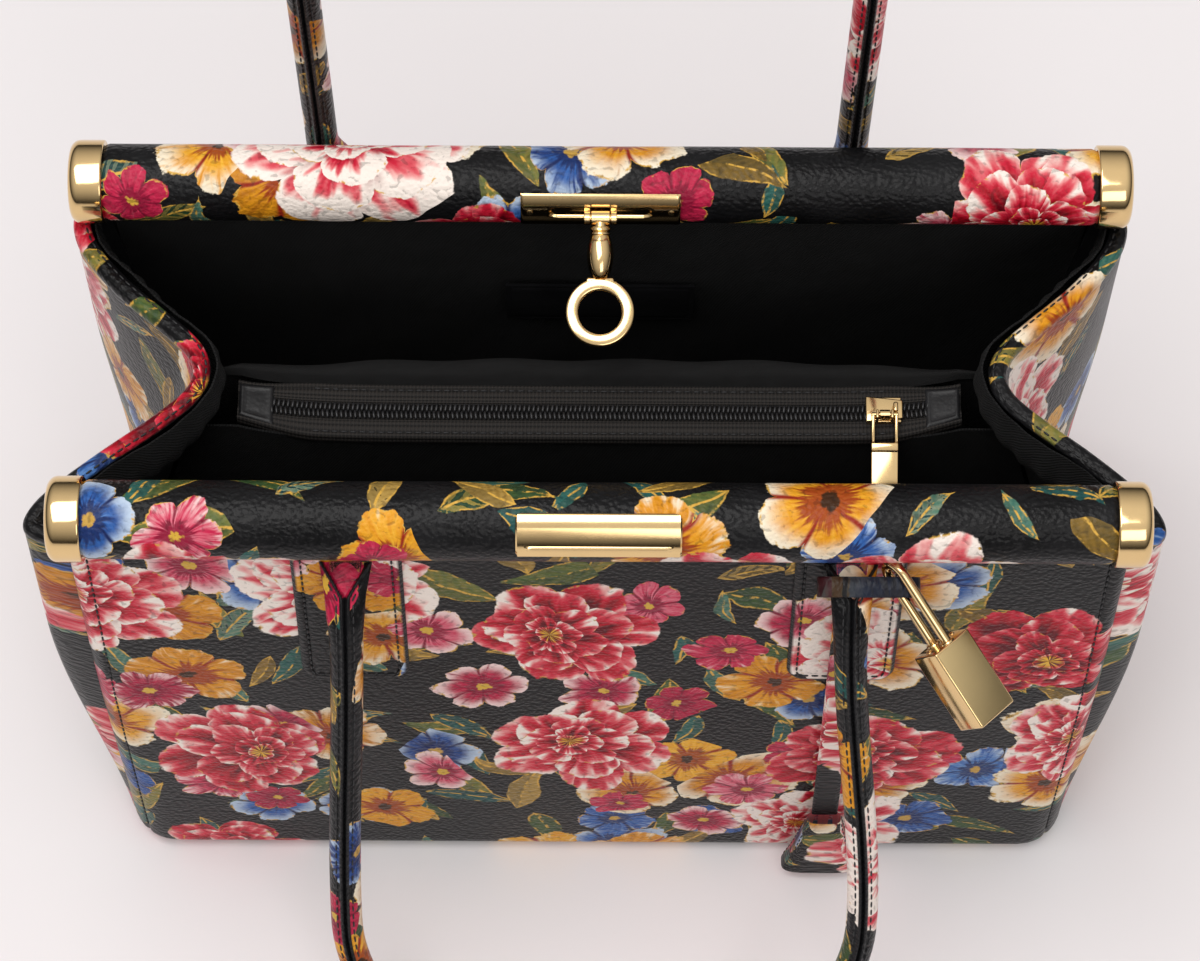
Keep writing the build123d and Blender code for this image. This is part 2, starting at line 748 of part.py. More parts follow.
bell_back = -widest_depth - strap_stand_off
with BuildPart() as fob_bell:
    with BuildSketch(Plane.XZ.offset(-bell_back)):
        with Locations((spread_half, 0)):
            Polygon(
                (-bell_width / 2, bell_lift),
                (bell_width / 2, bell_lift),
                (bell_top_width / 2, bell_height),
                (-bell_top_width / 2, bell_height),
                align=None,
            )
    extrude(amount=bell_depth)
    with BuildSketch(Plane.YZ):
        Polygon(
            (bell_back, bell_lift),
            (bell_back, bell_height),
            (bell_back - bell_top_depth, bell_height),
            (bell_back - bell_depth, bell_lift),
            align=None,
        )
    extrude(amount=panel_width, mode=Mode.INTERSECT)
    chamfer(fob_bell.edges().filter_by(Axis.Z, reverse=True).group_by(Axis.Y)[0], bell_corner)
write("fob_bell", fob_bell)
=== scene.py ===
import math
import bpy
import numpy as np
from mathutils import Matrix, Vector


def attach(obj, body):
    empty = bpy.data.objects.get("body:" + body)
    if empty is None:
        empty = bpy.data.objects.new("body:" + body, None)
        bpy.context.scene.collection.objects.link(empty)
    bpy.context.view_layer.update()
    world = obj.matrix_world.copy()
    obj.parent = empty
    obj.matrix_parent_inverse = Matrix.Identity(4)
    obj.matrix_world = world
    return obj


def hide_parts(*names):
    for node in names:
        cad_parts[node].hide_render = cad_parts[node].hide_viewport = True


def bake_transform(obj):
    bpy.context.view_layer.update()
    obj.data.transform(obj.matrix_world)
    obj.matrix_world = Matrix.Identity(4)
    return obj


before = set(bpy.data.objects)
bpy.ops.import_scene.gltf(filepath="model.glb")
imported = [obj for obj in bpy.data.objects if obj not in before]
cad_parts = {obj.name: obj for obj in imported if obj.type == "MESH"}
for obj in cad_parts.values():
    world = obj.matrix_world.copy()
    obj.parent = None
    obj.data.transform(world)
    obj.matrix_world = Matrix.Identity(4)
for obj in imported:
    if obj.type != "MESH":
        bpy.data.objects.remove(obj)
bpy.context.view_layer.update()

# Sizes in millimetres, as in the solids
MM = 0.001
HALF_WIDTH = 166
HALF_BASE = 85
HALF_MOUTH = 64
HEIGHT = 214
BASE_EDGE = 8
CORNER_LOW = 17
CORNER_HIGH = 2.5
FOLD = 37
LOBE = 11
BAR_Y = 59.5
BAR_Z = 228
BAR_R = 12.4
HINGE_Y = 79.5
HINGE_Z = 205
SPREAD = 79

# Thicknesses of the leathers and cloths
PANEL_WALL = 2.1
GUSSET_WALL = 2.0
HEM_WALL = 1.3
TAB_WALL = 1.2
LINING_WALL = 0.6
POCKET_WALL = 0.7

X, Y, Z = np.eye(3)
SIDES = ((-1, "front"), (1, "back"))
HANDS = ((-1, "left"), (1, "right"))

# Where each piece is cut from the printed hide, so that no two show the same flowers
HIDE = {
    "front_panel": (31, 12), "back_panel": (587, 341), "base": (811, 77),
    "left_gusset": (1203, 640), "right_gusset": (1604, 219),
    "front_bar": (70, 905), "back_bar": (455, 1305),
    "front_handle": (40, 1500), "back_handle": (140, 1720),
    "lock_loop": (930, 1420), "fob_strap": (1010, 1330), "fob_bell": (1130, 1380),
}


# Small sums

def span(start, end, count):
    return list(np.linspace(start, end, count + 1))


def both_ends(ends, middle):
    """Steps across a piece: close together towards both its ends, with the middle ones between."""
    return [-x for x in ends] + middle + ends[::-1]


def rows_of(profile):
    """Row numbers of a profile, as steps along a grid."""
    return list(range(len(profile)))


def within(value, low=0, high=1):
    return min(max(value, low), high)


def ease(low, high, value):
    t = within((value - low) / (high - low))
    return t * t * (3 - 2 * t)


def dent(away, width):
    """A smooth ridge or groove: 1 on its line and gone at about twice its width."""
    return math.exp(-((away / width) ** 2))


def squared(wave, power):
    """A sine or cosine pushed outwards, which makes a round section a rounded box."""
    return math.copysign(abs(wave) ** power, wave)


def rounding(past, radius):
    """How far a rounded corner falls back at a distance past the start of its round."""
    return radius - math.sqrt(max(radius**2 - past**2, 0))


def unit(v):
    v = np.asarray(v, float)
    return v / np.linalg.norm(v)


def run_along(path):
    """Length of a path up to each of its points."""
    return np.concatenate([[0], np.cumsum(np.linalg.norm(np.diff(path, axis=0), axis=1))])


def directions(path):
    steps = np.gradient(path, axis=0)
    return steps / np.linalg.norm(steps, axis=1)[:, None]


# Modelling helpers

def deselect():
    if bpy.context.object and bpy.context.object.mode != "OBJECT":
        bpy.ops.object.mode_set(mode="OBJECT")
    bpy.ops.object.select_all(action="DESELECT")


def pick(piece):
    deselect()
    piece.select_set(True)
    bpy.context.view_layer.objects.active = piece


def merge(piece, distance=0.00002):
    pick(piece)
    bpy.ops.object.mode_set(mode="EDIT")
    bpy.ops.mesh.select_all(action="SELECT")
    bpy.ops.mesh.remove_doubles(threshold=distance)
    bpy.ops.mesh.normals_make_consistent(inside=False)
    bpy.ops.object.mode_set(mode="OBJECT")


def fill_holes(piece):
    pick(piece)
    bpy.ops.object.mode_set(mode="EDIT")
    bpy.ops.mesh.select_all(action="DESELECT")
    bpy.ops.mesh.select_mode(type="EDGE")
    bpy.ops.mesh.select_non_manifold(extend=False)
    bpy.ops.mesh.fill()
    bpy.ops.mesh.select_all(action="SELECT")
    bpy.ops.mesh.normals_make_consistent(inside=False)
    bpy.ops.object.mode_set(mode="OBJECT")


def finish_mod(piece, kind, **settings):
    pick(piece)
    modifier = piece.modifiers.new(kind.lower(), kind)
    for key, value in settings.items():
        setattr(modifier, key, value)
    bpy.ops.object.modifier_apply(modifier=modifier.name)


def thicken(piece, wall, second=0):
    """Give a sheet its thickness inwards; its rim and inner face may take the second material."""
    finish_mod(
        piece, "SOLIDIFY", thickness=wall * MM, offset=-1, use_quality_normals=True,
        material_offset=second, material_offset_rim=second,
    )


def round_edges(piece, width, segments):
    finish_mod(
        piece, "BEVEL", width=width * MM, segments=segments,
        limit_method="ANGLE", angle_limit=math.radians(30),
    )


def smooth(piece, angle=40):
    pick(piece)
    bpy.ops.object.shade_smooth_by_angle(angle=math.radians(angle))


def dress(piece, *materials):
    piece.data.materials.clear()
    for material in materials:
        piece.data.materials.append(material)
    return piece


def fit(piece, body, slot, *nodes):
    """Fasten a piece to its body, in place of the solids that it stands for; its slot is not used."""
    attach(piece, body)
    if nodes:
        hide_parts(*nodes)


def join(name, pieces):
    deselect()
    for piece in pieces:
        piece.select_set(True)
    bpy.context.view_layer.objects.active = pieces[0]
    if len(pieces) > 1:
        bpy.ops.object.join()
    pieces[0].name = name
    pieces[0].data.name = name
    return pieces[0]


def grid_piece(name, across, along, place, flat=(0, 0), weld=False, paint=None, cut=None):
    """A sheet from a grid, set to its shape point by point, with its flat cut in metres as UV map."""
    deselect()
    cols, rows = len(across) - 1, len(along) - 1
    bpy.ops.mesh.primitive_grid_add(x_subdivisions=cols, y_subdivisions=rows, size=1)
    piece = bpy.context.object
    piece.name = name
    mesh = piece.data
    mesh.name = name
    raw = np.array([v.co[:2] for v in mesh.vertices]) + 0.5
    col = np.rint(raw[:, 0] * cols).astype(int)
    row = np.rint(raw[:, 1] * rows).astype(int)
    knots = [(across[c], along[r]) for c, r in zip(col, row)]
    spots = np.array([place(*knot) for knot in knots], float) * MM
    mesh.vertices.foreach_set("co", spots.ravel())
    cuts = np.array([cut(*knot) if cut else knot for knot in knots], float)
    cuts = (cuts + np.array(flat)) * MM
    index = np.zeros(len(mesh.loops), int)
    mesh.loops.foreach_get("vertex_index", index)
    mesh.uv_layers[0].data.foreach_set("uv", cuts[index].ravel().astype(np.float32))
    if paint:
        layer = mesh.attributes.new("paint", "FLOAT", "POINT")
        layer.data.foreach_set("value", np.array([paint(*knot) for knot in knots], np.float32))
    mesh.update()
    if weld:
        merge(piece)
    return piece


def block(centre, axes, sizes, bevel, segments=3, taper=1.0):
    """A rounded block: its centre, its three directions and sizes, narrower at one end by a taper."""
    deselect()
    bpy.ops.mesh.primitive_cube_add(size=1)
    piece = bpy.context.object
    for vertex in piece.data.vertices:
        raw = np.array(vertex.co) * sizes
        if raw[0] > 0:
            raw[1] *= taper
        vertex.co = Vector((centre + raw @ np.array(axes)) * MM)
    merge(piece)
    round_edges(piece, bevel, segments)
    return piece


def lathe(origin, axis, profile, sides):
    """A turned piece: rows of (height along the axis, radius)."""
    axis = unit(axis)
    side = unit(np.cross(axis, Z))
    high = np.cross(side, axis)

    def place(turn, step):
        height, radius = profile[step]
        angle = 2 * math.pi * turn
        rim = math.cos(angle) * side + math.sin(angle) * high
        return origin + axis * height + max(radius, 0.0005) * rim

    return grid_piece("turned", span(0, 1, sides), rows_of(profile), place, weld=True)


def barrel(length, radius, edge, bore=0):
    """Profile of a short turned bar, or of an eye with a bore, with eased edges."""
    near, far = [(0, bore), (0, radius - edge)], [(length, radius - edge), (length, bore)]
    return near + [(edge, radius), (length - edge, radius)] + far


def rod(path, radius, up, sides):
    """A round bar along a path, its section turned as little as possible from a first up."""
    path = np.asarray(path, float)
    frames = []
    for tangent in directions(path):
        up = unit(up - tangent * np.dot(up, tangent))
        frames.append((np.cross(tangent, up), up))

    def place(turn, step):
        side, high = frames[step]
        angle = 2 * math.pi * turn
        return path[step] + radius * (math.cos(angle) * side + math.sin(angle) * high)

    piece = grid_piece("rod", span(0, 1, sides), rows_of(path), place, weld=True)
    fill_holes(piece)
    return piece


def beads(name, spots, along, up, length, width, height):
    """Stitches or teeth: small rounded bars in one mesh, each at a spot, lying along its own direction."""
    rings = ((-0.5, 0.25), (-0.36, 0.85), (0, 1), (0.36, 0.85), (0.5, 0.25))
    sides = 6
    points, faces = [], []
    for spot, run, top in zip(spots, along, up):
        run = unit(run)
        top = unit(top - run * np.dot(top, run))
        side = np.cross(run, top)
        first = len(points)
        last = first + (len(rings) - 1) * sides
        for share, swell in rings:
            for corner in range(sides):
                angle = 2 * math.pi * corner / sides
                rim = side * math.cos(angle) * width + top * math.sin(angle) * height
                points.append(spot + run * share * length + rim * swell / 2)
        for near in range(first, last, sides):
            for corner in range(sides):
                after = (corner + 1) % sides
                faces.append((near + corner, near + after, near + sides + after, near + sides + corner))
        faces.append(tuple(reversed(range(first, first + sides))))
        faces.append(tuple(range(last, last + sides)))
    mesh = bpy.data.meshes.new(name)
    mesh.from_pydata([tuple(point * MM) for point in points], [], faces)
    mesh.update()
    piece = bpy.data.objects.new(name, mesh)
    bpy.context.scene.collection.objects.link(piece)
    merge(piece, 0.000001)
    pick(piece)
    bpy.ops.object.shade_smooth()
    return piece


def sew(line, lift, pitch=3.4, length=2.5, width=0.75, height=0.7):
    """Stitches along a line given by points and the outward directions there."""
    line, lift = np.asarray(line, float), np.asarray(lift, float)
    run = run_along(line)
    count = max(int(run[-1] / pitch), 1)
    marks = (np.arange(count) + 0.5) * run[-1] / count

    def at(places, values):
        return np.stack([np.interp(places, run, values[:, k]) for k in range(3)], axis=1)

    ahead = at(marks + 0.4, line) - at(marks - 0.4, line)
    return dress(beads("stitches", at(marks, line), ahead, at(marks, lift), length, width, height), thread)


def skin(piece, wall, angle=40):
    """Printed leather: its thickness inwards, with black paint on its cut edges and inner face."""
    dress(piece, printed, edge_paint)
    thicken(piece, wall, 1)
    smooth(piece, angle)


def cloth_piece(name, across, along, place, wall=LINING_WALL, angle=60, cut=None):
    """Black lining cloth with a little thickness."""
    piece = grid_piece(name, across, along, place, cut=cut)
    dress(piece, twill)
    thicken(piece, wall)
    smooth(piece, angle)
    return piece


def gilt(name, parts, body, node, angle=40):
    """A gold fitting: its parts polished, unless they have a finish, joined and fastened to their body."""
    for part in parts:
        if not part.data.materials:
            dress(part, gold)
        smooth(part, angle)
    fit(join(name, parts), body, "gold_metal", node)


# Materials

class Net:
    """Short ways to add nodes to one material."""

    def __init__(self, name):
        self.material = bpy.data.materials.new(name)
        self.material.use_nodes = True
        self.tree = self.material.node_tree
        self.shader = self.tree.nodes["Principled BSDF"]

    def set(self, **constants):
        for key, value in constants.items():
            self.shader.inputs[key.replace("_", " ").title().replace("Ior", "IOR")].default_value = value

    def out(self, socket, value):
        self.feed(self.shader.inputs[socket], value)

    def add(self, kind, **settings):
        node = self.tree.nodes.new(kind)
        for key, value in settings.items():
            setattr(node, key, value)
        return node

    def feed(self, socket, value):
        if isinstance(value, bpy.types.NodeSocket):
            self.tree.links.new(value, socket)
        elif value is not None:
            socket.default_value = value

    def math(self, operation, first, second=None, third=None, clamp=False):
        node = self.add("ShaderNodeMath", operation=operation, use_clamp=clamp)
        for socket, value in zip(node.inputs, (first, second, third)):
            self.feed(socket, value)
        return node.outputs[0]

    def plus(self, first, second):
        return self.math("ADD", first, second)

    def minus(self, first, second):
        return self.math("SUBTRACT", first, second)

    def times(self, first, second):
        return self.math("MULTIPLY", first, second)

    def line(self, value, slope, start):
        """The value times a slope, from a start."""
        return self.math("MULTIPLY_ADD", value, slope, start)

    def vector(self, operation, first, second=None, scale=None):
        node = self.add("ShaderNodeVectorMath", operation=operation)
        self.feed(node.inputs[0], first)
        self.feed(node.inputs[1], second)
        if scale is not None:
            self.feed(node.inputs["Scale"], scale)
        return node.outputs["Vector"]

    def split(self, vector):
        node = self.add("ShaderNodeSeparateXYZ")
        self.feed(node.inputs[0], vector)
        return node.outputs

    def pack(self, x, y, z):
        node = self.add("ShaderNodeCombineXYZ")
        for socket, value in zip(node.inputs, (x, y, z)):
            self.feed(socket, value)
        return node.outputs[0]

    def uv(self):
        return self.add("ShaderNodeTexCoord").outputs["UV"]

    def own(self):
        return self.add("ShaderNodeTexCoord").outputs["Object"]

    def noise(self, vector, scale, detail=2, rough=0.5, colour=False, flat=False):
        node = self.add("ShaderNodeTexNoise", noise_dimensions="2D" if flat else "3D")
        self.feed(node.inputs["Vector"], vector)
        node.inputs["Scale"].default_value = scale
        node.inputs["Detail"].default_value = detail
        node.inputs["Roughness"].default_value = rough
        return node.outputs["Color" if colour else "Fac"]

    def cells(self, vector, scale, random=1.0, feature="F1", flat=True):
        node = self.add("ShaderNodeTexVoronoi", feature=feature, voronoi_dimensions="2D" if flat else "3D")
        self.feed(node.inputs["Vector"], vector)
        node.inputs["Scale"].default_value = scale
        node.inputs["Randomness"].default_value = random
        return node.outputs

    def ramp(self, factor, stops):
        node = self.add("ShaderNodeValToRGB")
        points = node.color_ramp.elements
        while len(points) < len(stops):
            points.new(0.5)
        for point, (place, colour) in zip(points, stops):
            point.position = place
            point.color = (*colour, 1)
        self.feed(node.inputs[0], factor)
        return node.outputs[0]

    def blend(self, factor, first, second):
        node = self.add("ShaderNodeMix", data_type="RGBA")
        self.feed(node.inputs["Factor"], factor)
        for socket, value in ((node.inputs[6], first), (node.inputs[7], second)):
            self.feed(socket, (*value, 1) if isinstance(value, tuple) else value)
        return node.outputs[2]

    def step(self, value, low, high):
        """A soft step from 0 at low to 1 at high."""
        node = self.add("ShaderNodeMapRange", interpolation_type="SMOOTHSTEP")
        for socket, item in zip(node.inputs, (value, low, high, 0.0, 1.0)):
            self.feed(socket, item)
        return node.outputs[0]

    def bump(self, height, strength, distance):
        node = self.add("ShaderNodeBump")
        node.inputs["Strength"].default_value = strength
        node.inputs["Distance"].default_value = distance
        self.feed(node.inputs["Height"], height)
        self.out("Normal", node.outputs[0])


def scatter(net, uv, per_metre, seed, random):
    """Scattered places: the turned offset from the nearest one, in its own spacing, and its random values."""
    moved = net.vector("ADD", net.vector("SCALE", uv, scale=per_metre), (seed * 7.31, seed * 3.17, 0))
    found = net.cells(moved, 1.0, random)
    chance = net.split(found["Color"])
    offset = net.split(net.vector("SUBTRACT", moved, found["Position"]))
    turn = net.times(chance[0], 2 * math.pi)
    sine, cosine = net.math("SINE", turn), net.math("COSINE", turn)
    x = net.minus(net.times(offset[0], cosine), net.times(offset[1], sine))
    y = net.plus(net.times(offset[0], sine), net.times(offset[1], cosine))
    return x, y, chance


def polar(net, x, y):
    squares = net.plus(net.times(x, x), net.times(y, y))
    return net.math("SQRT", squares), net.math("ARCTAN2", y, x)


BLACK = (0.0035, 0.0035, 0.004)
WORN_BLACK = (0.010, 0.010, 0.011)
PAINTED_EDGE = (0.008, 0.008, 0.009)
GOLD_INK = (0.62, 0.36, 0.06)
POLLEN = (0.72, 0.42, 0.04)
GREENS = (
    (0.0, (0.015, 0.045, 0.022)), (0.4, (0.05, 0.09, 0.025)),
    (0.7, (0.14, 0.15, 0.035)), (1.0, (0.25, 0.19, 0.04)),
)
TEALS = (
    (0.0, (0.008, 0.045, 0.05)), (0.45, (0.02, 0.10, 0.085)),
    (0.8, (0.07, 0.17, 0.12)), (1.0, (0.20, 0.24, 0.16)),
)
OCHRES = ((0.0, (0.09, 0.06, 0.015)), (0.5, (0.24, 0.14, 0.025)), (1.0, (0.42, 0.27, 0.07)))
BLUES = ((0.15, (0.012, 0.03, 0.14)), (0.5, (0.03, 0.11, 0.36)), (0.8, (0.12, 0.27, 0.55)))
YELLOWS = ((0.1, (0.36, 0.12, 0.008)), (0.42, (0.66, 0.27, 0.012)), (0.75, (0.80, 0.44, 0.04)))
PINKS = ((0.1, (0.26, 0.006, 0.03)), (0.45, (0.52, 0.02, 0.07)), (0.8, (0.74, 0.24, 0.30)))
PEONY_CREASE = (0.24, 0.004, 0.014)
PEONY_SHADES = (
    (0.0, (0.11, 0.001, 0.006)), (0.28, (0.36, 0.004, 0.014)), (0.5, (0.56, 0.016, 0.042)),
    (0.66, (0.68, 0.11, 0.13)), (0.8, (0.80, 0.43, 0.40)), (0.92, (0.86, 0.77, 0.70)),
)

# Leaves: how many to the metre, seed, share that is shown, width and shades
LEAVES = ((25, 3, 0.72, 0.36, GREENS), (31, 11, 0.6, 0.3, TEALS), (29, 5, 0.34, 0.33, OCHRES))

# Open flowers: how many to the metre, seed, share that is shown, petals, size, heart, shades, tips and blotch
BLOSSOMS = (
    (26, 2, 0.26, 5, 0.34, (0.5, 0.3, 0.06), BLUES, (0.45, 0.55, 0.68), (0.01, 0.02, 0.09)),
    (21.5, 8, 0.46, 5, 0.36, (0.05, 0.02, 0.008), YELLOWS, (0.82, 0.74, 0.58), (0.27, 0.02, 0.008)),
    (29, 14, 0.22, 6, 0.34, (0.62, 0.38, 0.05), PINKS, (0.82, 0.62, 0.60), (0.22, 0.006, 0.03)),
)

# Full flowers: how many to the metre, seed, share that is shown and size
PEONIES = (11.8, 4, 0.68, 0.37)

# Layers of a full flower from its outer petals to its heart: reach, petals, turn and shift towards the light
PEONY_LAYERS = (
    (1.0, 6, 0.0, 0.0), (0.8, 5, 0.9, 0.07), (0.57, 5, 2.1, 0.13), (0.35, 4, 0.4, 0.17), (0.18, 3, 1.5, 0.17)
)


def leaves(net, under, uv, ragged, per_metre, seed, share, wide, shades):
    """Pointed leaves with a gold rim and midrib."""
    x, y, chance = scatter(net, uv, per_metre, seed, 0.85)
    long = net.line(chance[1], 0.2, 0.36)
    run = net.math("DIVIDE", x, long)
    square = net.times(run, run)
    bend = net.line(square, 0.07, y)
    body = net.math("SUBTRACT", 1.0, square, clamp=True)
    half = net.times(net.times(body, long), net.line(run, -0.14, wide))
    away = net.math("ABSOLUTE", bend)
    depth = net.minus(half, net.line(ragged, 0.05, away))
    shown = net.math("LESS_THAN", chance[2], share)
    mask = net.times(net.step(depth, 0.0, 0.012), shown)
    ribs = net.math("SINE", net.line(away, 70.0, net.times(x, -55.0)))
    tone = net.line(ribs, 0.1, net.line(ragged, 0.5, chance[0]))
    colour = net.ramp(net.math("FRACT", net.times(tone, 0.83)), shades)
    side = net.math("GREATER_THAN", bend, 0.0)
    colour = net.blend(net.times(side, 0.35), colour, (0.02, 0.03, 0.02))
    rim = net.minus(1.0, net.step(depth, 0.012, 0.03))
    midrib = net.minus(1.0, net.step(away, 0.006, 0.016))
    ink = net.times(net.math("MAXIMUM", rim, midrib), net.step(ragged, 0.42, 0.56))
    colour = net.blend(ink, colour, GOLD_INK)
    return net.blend(mask, under, colour)


def blossoms(net, under, uv, ragged, per_metre, seed, share, petals, size, heart, shades, tips, blotch):
    """Open five or six petalled flowers with a dark streaked heart and pale tips."""
    x, y, chance = scatter(net, uv, per_metre, seed, 0.8)
    radius, angle = polar(net, x, y)
    reach = net.line(chance[1], 0.13, size)
    lobes = net.math("ABSOLUTE", net.math("COSINE", net.times(angle, petals / 2)))
    edge = net.times(reach, net.line(net.math("POWER", lobes, 0.45), 0.34, 0.66))
    out = net.math("DIVIDE", net.line(ragged, 0.09, net.minus(radius, 0.045)), edge)
    shown = net.math("LESS_THAN", chance[2], share)
    mask = net.times(net.step(out, 1.0, 0.97), shown)
    streak = net.noise(net.pack(net.times(angle, 5.0), net.times(radius, 3.0), chance[0]), 1.6)
    colour = net.ramp(net.line(streak, 0.75, net.line(chance[0], 0.35, -0.12)), shades)
    pale = net.times(net.step(out, 0.55, 0.98), net.step(net.plus(streak, chance[1]), 0.85, 1.15))
    colour = net.blend(pale, colour, tips)
    gap = net.minus(1.0, net.step(lobes, 0.05, 0.3))
    colour = net.blend(net.times(gap, net.step(out, 0.2, 0.5)), colour, blotch)
    dark = net.step(net.line(streak, 0.55, out), 0.78, 0.62)
    colour = net.blend(net.times(dark, 0.85), colour, blotch)
    colour = net.blend(net.step(out, 0.17, 0.12), colour, heart)
    rim = net.times(net.step(out, 0.93, 0.97), net.step(ragged, 0.44, 0.6))
    colour = net.blend(rim, colour, GOLD_INK)
    return net.blend(mask, under, colour)


def peonies(net, under, uv, ragged, per_metre, seed, share, size):
    """Full flowers of layered petals, each from a deep red base to a pale streaked lip."""
    x, y, chance = scatter(net, uv, per_metre, seed, 0.7)
    shown = net.math("LESS_THAN", chance[2], share)
    reach = net.line(chance[1], 0.09, size)
    mood = net.line(chance[1], 0.74, -0.45)
    colour = under
    for part, petals, turn, shift in PEONY_LAYERS:
        moved = net.line(reach, -shift, y)
        radius, angle = polar(net, x, net.times(moved, 1.12))
        swing = net.line(chance[0], 3.0 + turn, turn)
        lobe = net.math("ABSOLUTE", net.math("COSINE", net.line(angle, petals / 2, swing)))
        edge = net.times(reach, net.line(net.math("POWER", lobe, 0.55), 0.3 * part, 0.7 * part))
        out = net.math("DIVIDE", net.line(ragged, 0.035, net.minus(radius, 0.017)), edge)
        stroke = net.pack(net.times(angle, 3.2), net.times(radius, 3.4), net.plus(chance[0], part * 9))
        streak = net.noise(stroke, 1.3)
        lip = net.math("POWER", net.math("MAXIMUM", out, 0.0), 2.2)
        tone = net.line(net.minus(streak, 0.5), 1.9, net.times(lip, 0.85))
        petal = net.ramp(net.plus(net.plus(tone, mood), 0.16), PEONY_SHADES)
        crease = net.times(net.step(lobe, 0.4, 0.05), net.step(out, 1.0, 0.6))
        petal = net.blend(net.times(crease, 0.7), petal, PEONY_CREASE)
        rim = net.times(net.step(out, 0.95, 0.985), net.step(ragged, 0.56, 0.62))
        petal = net.blend(rim, petal, GOLD_INK)
        colour = net.blend(net.times(net.step(out, 1.0, 0.975), shown), colour, petal)
    pollen = net.times(net.step(radius, 0.07, 0.03), net.step(streak, 0.46, 0.56))
    return net.blend(net.times(pollen, shown), colour, POLLEN)


def grain(net, uv, coarse):
    """Pebbled leather: small rounded cells a little wider than high, with a finer crease in them."""
    stretched = net.vector("MULTIPLY", uv, (0.85, 1.05, 1))
    waver = net.noise(uv, 160, colour=True, flat=True)
    bent = net.vector("ADD", stretched, net.vector("SCALE", waver, scale=0.0022))
    pebble = net.cells(bent, coarse, 1.0, "SMOOTH_F1")["Distance"]
    fine = net.noise(uv, coarse * 2.6, flat=True)
    return net.line(fine, 0.25, net.minus(1.0, pebble))


def make_print():
    """Black pebbled leather with an all-over painted flower print, and painted raw edges where marked."""
    net = Net("printed_leather")
    uv = net.uv()
    waver = net.vector("SUBTRACT", net.noise(uv, 19, 3, colour=True, flat=True), (0.5, 0.5, 0.5))
    bent = net.vector("ADD", uv, net.vector("SCALE", waver, scale=0.016))
    ragged = net.noise(uv, 210, 3, 0.6, flat=True)
    soot = net.noise(uv, 40, 3, flat=True)
    colour = net.ramp(soot, ((0.3, BLACK), (0.75, WORN_BLACK)))
    for row in LEAVES:
        colour = leaves(net, colour, bent, ragged, *row)
    for row in BLOSSOMS:
        colour = blossoms(net, colour, bent, ragged, *row)
    colour = peonies(net, colour, bent, ragged, *PEONIES)
    edge = net.add("ShaderNodeAttribute", attribute_name="paint").outputs["Fac"]
    colour = net.blend(edge, colour, PAINTED_EDGE)
    pebbles = grain(net, uv, 640)
    # Painted shade: the print is darkened towards black in the low hollows between the pebbles of the grain
    painted_hollow_shade = net.blend(0.35, colour, (0.004, 0.004, 0.004))
    net.out("Base Color", net.blend(net.step(pebbles, 0.62, 0.42), colour, painted_hollow_shade))
    net.out("Roughness", net.line(soot, 0.12, 0.26))
    net.bump(pebbles, 0.8, 0.0004)
    net.set(specular_ior_level=0.15)
    return net.material


def shade_of(colour, share):
    return tuple(part * share for part in colour)


def make_patch_leather(shade, rough):
    """Smooth black leather with a shallow grain."""
    net = Net("patch_leather")
    own = net.own()
    mottle = net.noise(own, 60, 3)
    net.out("Base Color", net.ramp(mottle, ((0.3, shade_of(shade, 0.7)), (0.75, shade_of(shade, 1.4)))))
    net.out("Roughness", net.line(mottle, 0.15, rough))
    net.bump(net.cells(own, 900, 1.0, "SMOOTH_F1", False)["Distance"], 0.25, 0.0003)
    net.set(specular_ior_level=0.28)
    return net.material


def make_twill():
    """Black cotton twill: fine slanting ribs crossed by the weft, with a little lint."""
    net = Net("lining_twill")
    uv = net.uv()
    x, y, _ = net.split(uv)
    rib = net.math("SINE", net.times(net.plus(x, y), 5200.0))
    weft = net.math("SINE", net.times(net.minus(x, y), 9400.0))
    weave = net.line(weft, 0.3, rib)
    dust = net.noise(uv, 90, 4, flat=True)
    shades = ((0.2, (0.0015, 0.0015, 0.0017)), (0.8, (0.009, 0.009, 0.0095)))
    net.out("Base Color", net.ramp(net.line(weave, 0.16, dust), shades))
    net.out("Roughness", net.line(dust, 0.2, 0.72))
    net.bump(weave, 1.0, 0.00025)
    net.set(specular_ior_level=0.2, sheen_weight=0.03, sheen_roughness=0.4)
    return net.material


def make_gold(name, colour, rough, brushed):
    """Gold plate: mirror polish with faint handling marks, or a fine brushed grain."""
    net = Net(name)
    own = net.own()
    marks = net.noise(own, 55, 4, 0.65)
    net.out("Base Color", net.ramp(marks, ((0.25, shade_of(colour, 0.9)), (0.8, colour))))
    if brushed:
        lines = net.noise(net.vector("MULTIPLY", own, (2600, 500, 500)), 1.0)
        net.out("Roughness", net.line(lines, 0.16, rough))
        net.bump(lines, 0.12, 0.00004)
    else:
        net.out("Roughness", net.line(marks, 0.09, rough))
    net.set(metallic=1.0)
    return net.material


def make_tape():
    """Black woven tape with ribs along it."""
    net = Net("zip_tape_weave")
    x, y, _ = net.split(net.uv())
    rows = net.math("SINE", net.times(x, 5200.0))
    ribs = net.math("ABSOLUTE", net.math("SINE", net.times(y, 3000.0)))
    weave = net.line(rows, 0.4, ribs)
    net.out("Base Color", net.ramp(weave, ((0.0, (0.004, 0.0038, 0.0038)), (1.0, (0.022, 0.019, 0.017)))))
    net.out("Roughness", net.line(rows, 0.05, 0.7))
    net.bump(weave, 0.8, 0.0003)
    net.set(specular_ior_level=0.25)
    return net.material


def make_plain(name, low, high, rough, scale=120):
    """A plain finish that varies a little between two shades."""
    net = Net(name)
    spots = net.noise(net.own(), scale, 3)
    net.out("Base Color", net.ramp(spots, ((0.3, low), (0.75, high))))
    net.out("Roughness", net.line(spots, 0.15, rough))
    net.bump(spots, 0.15, 0.0002)
    return net.material


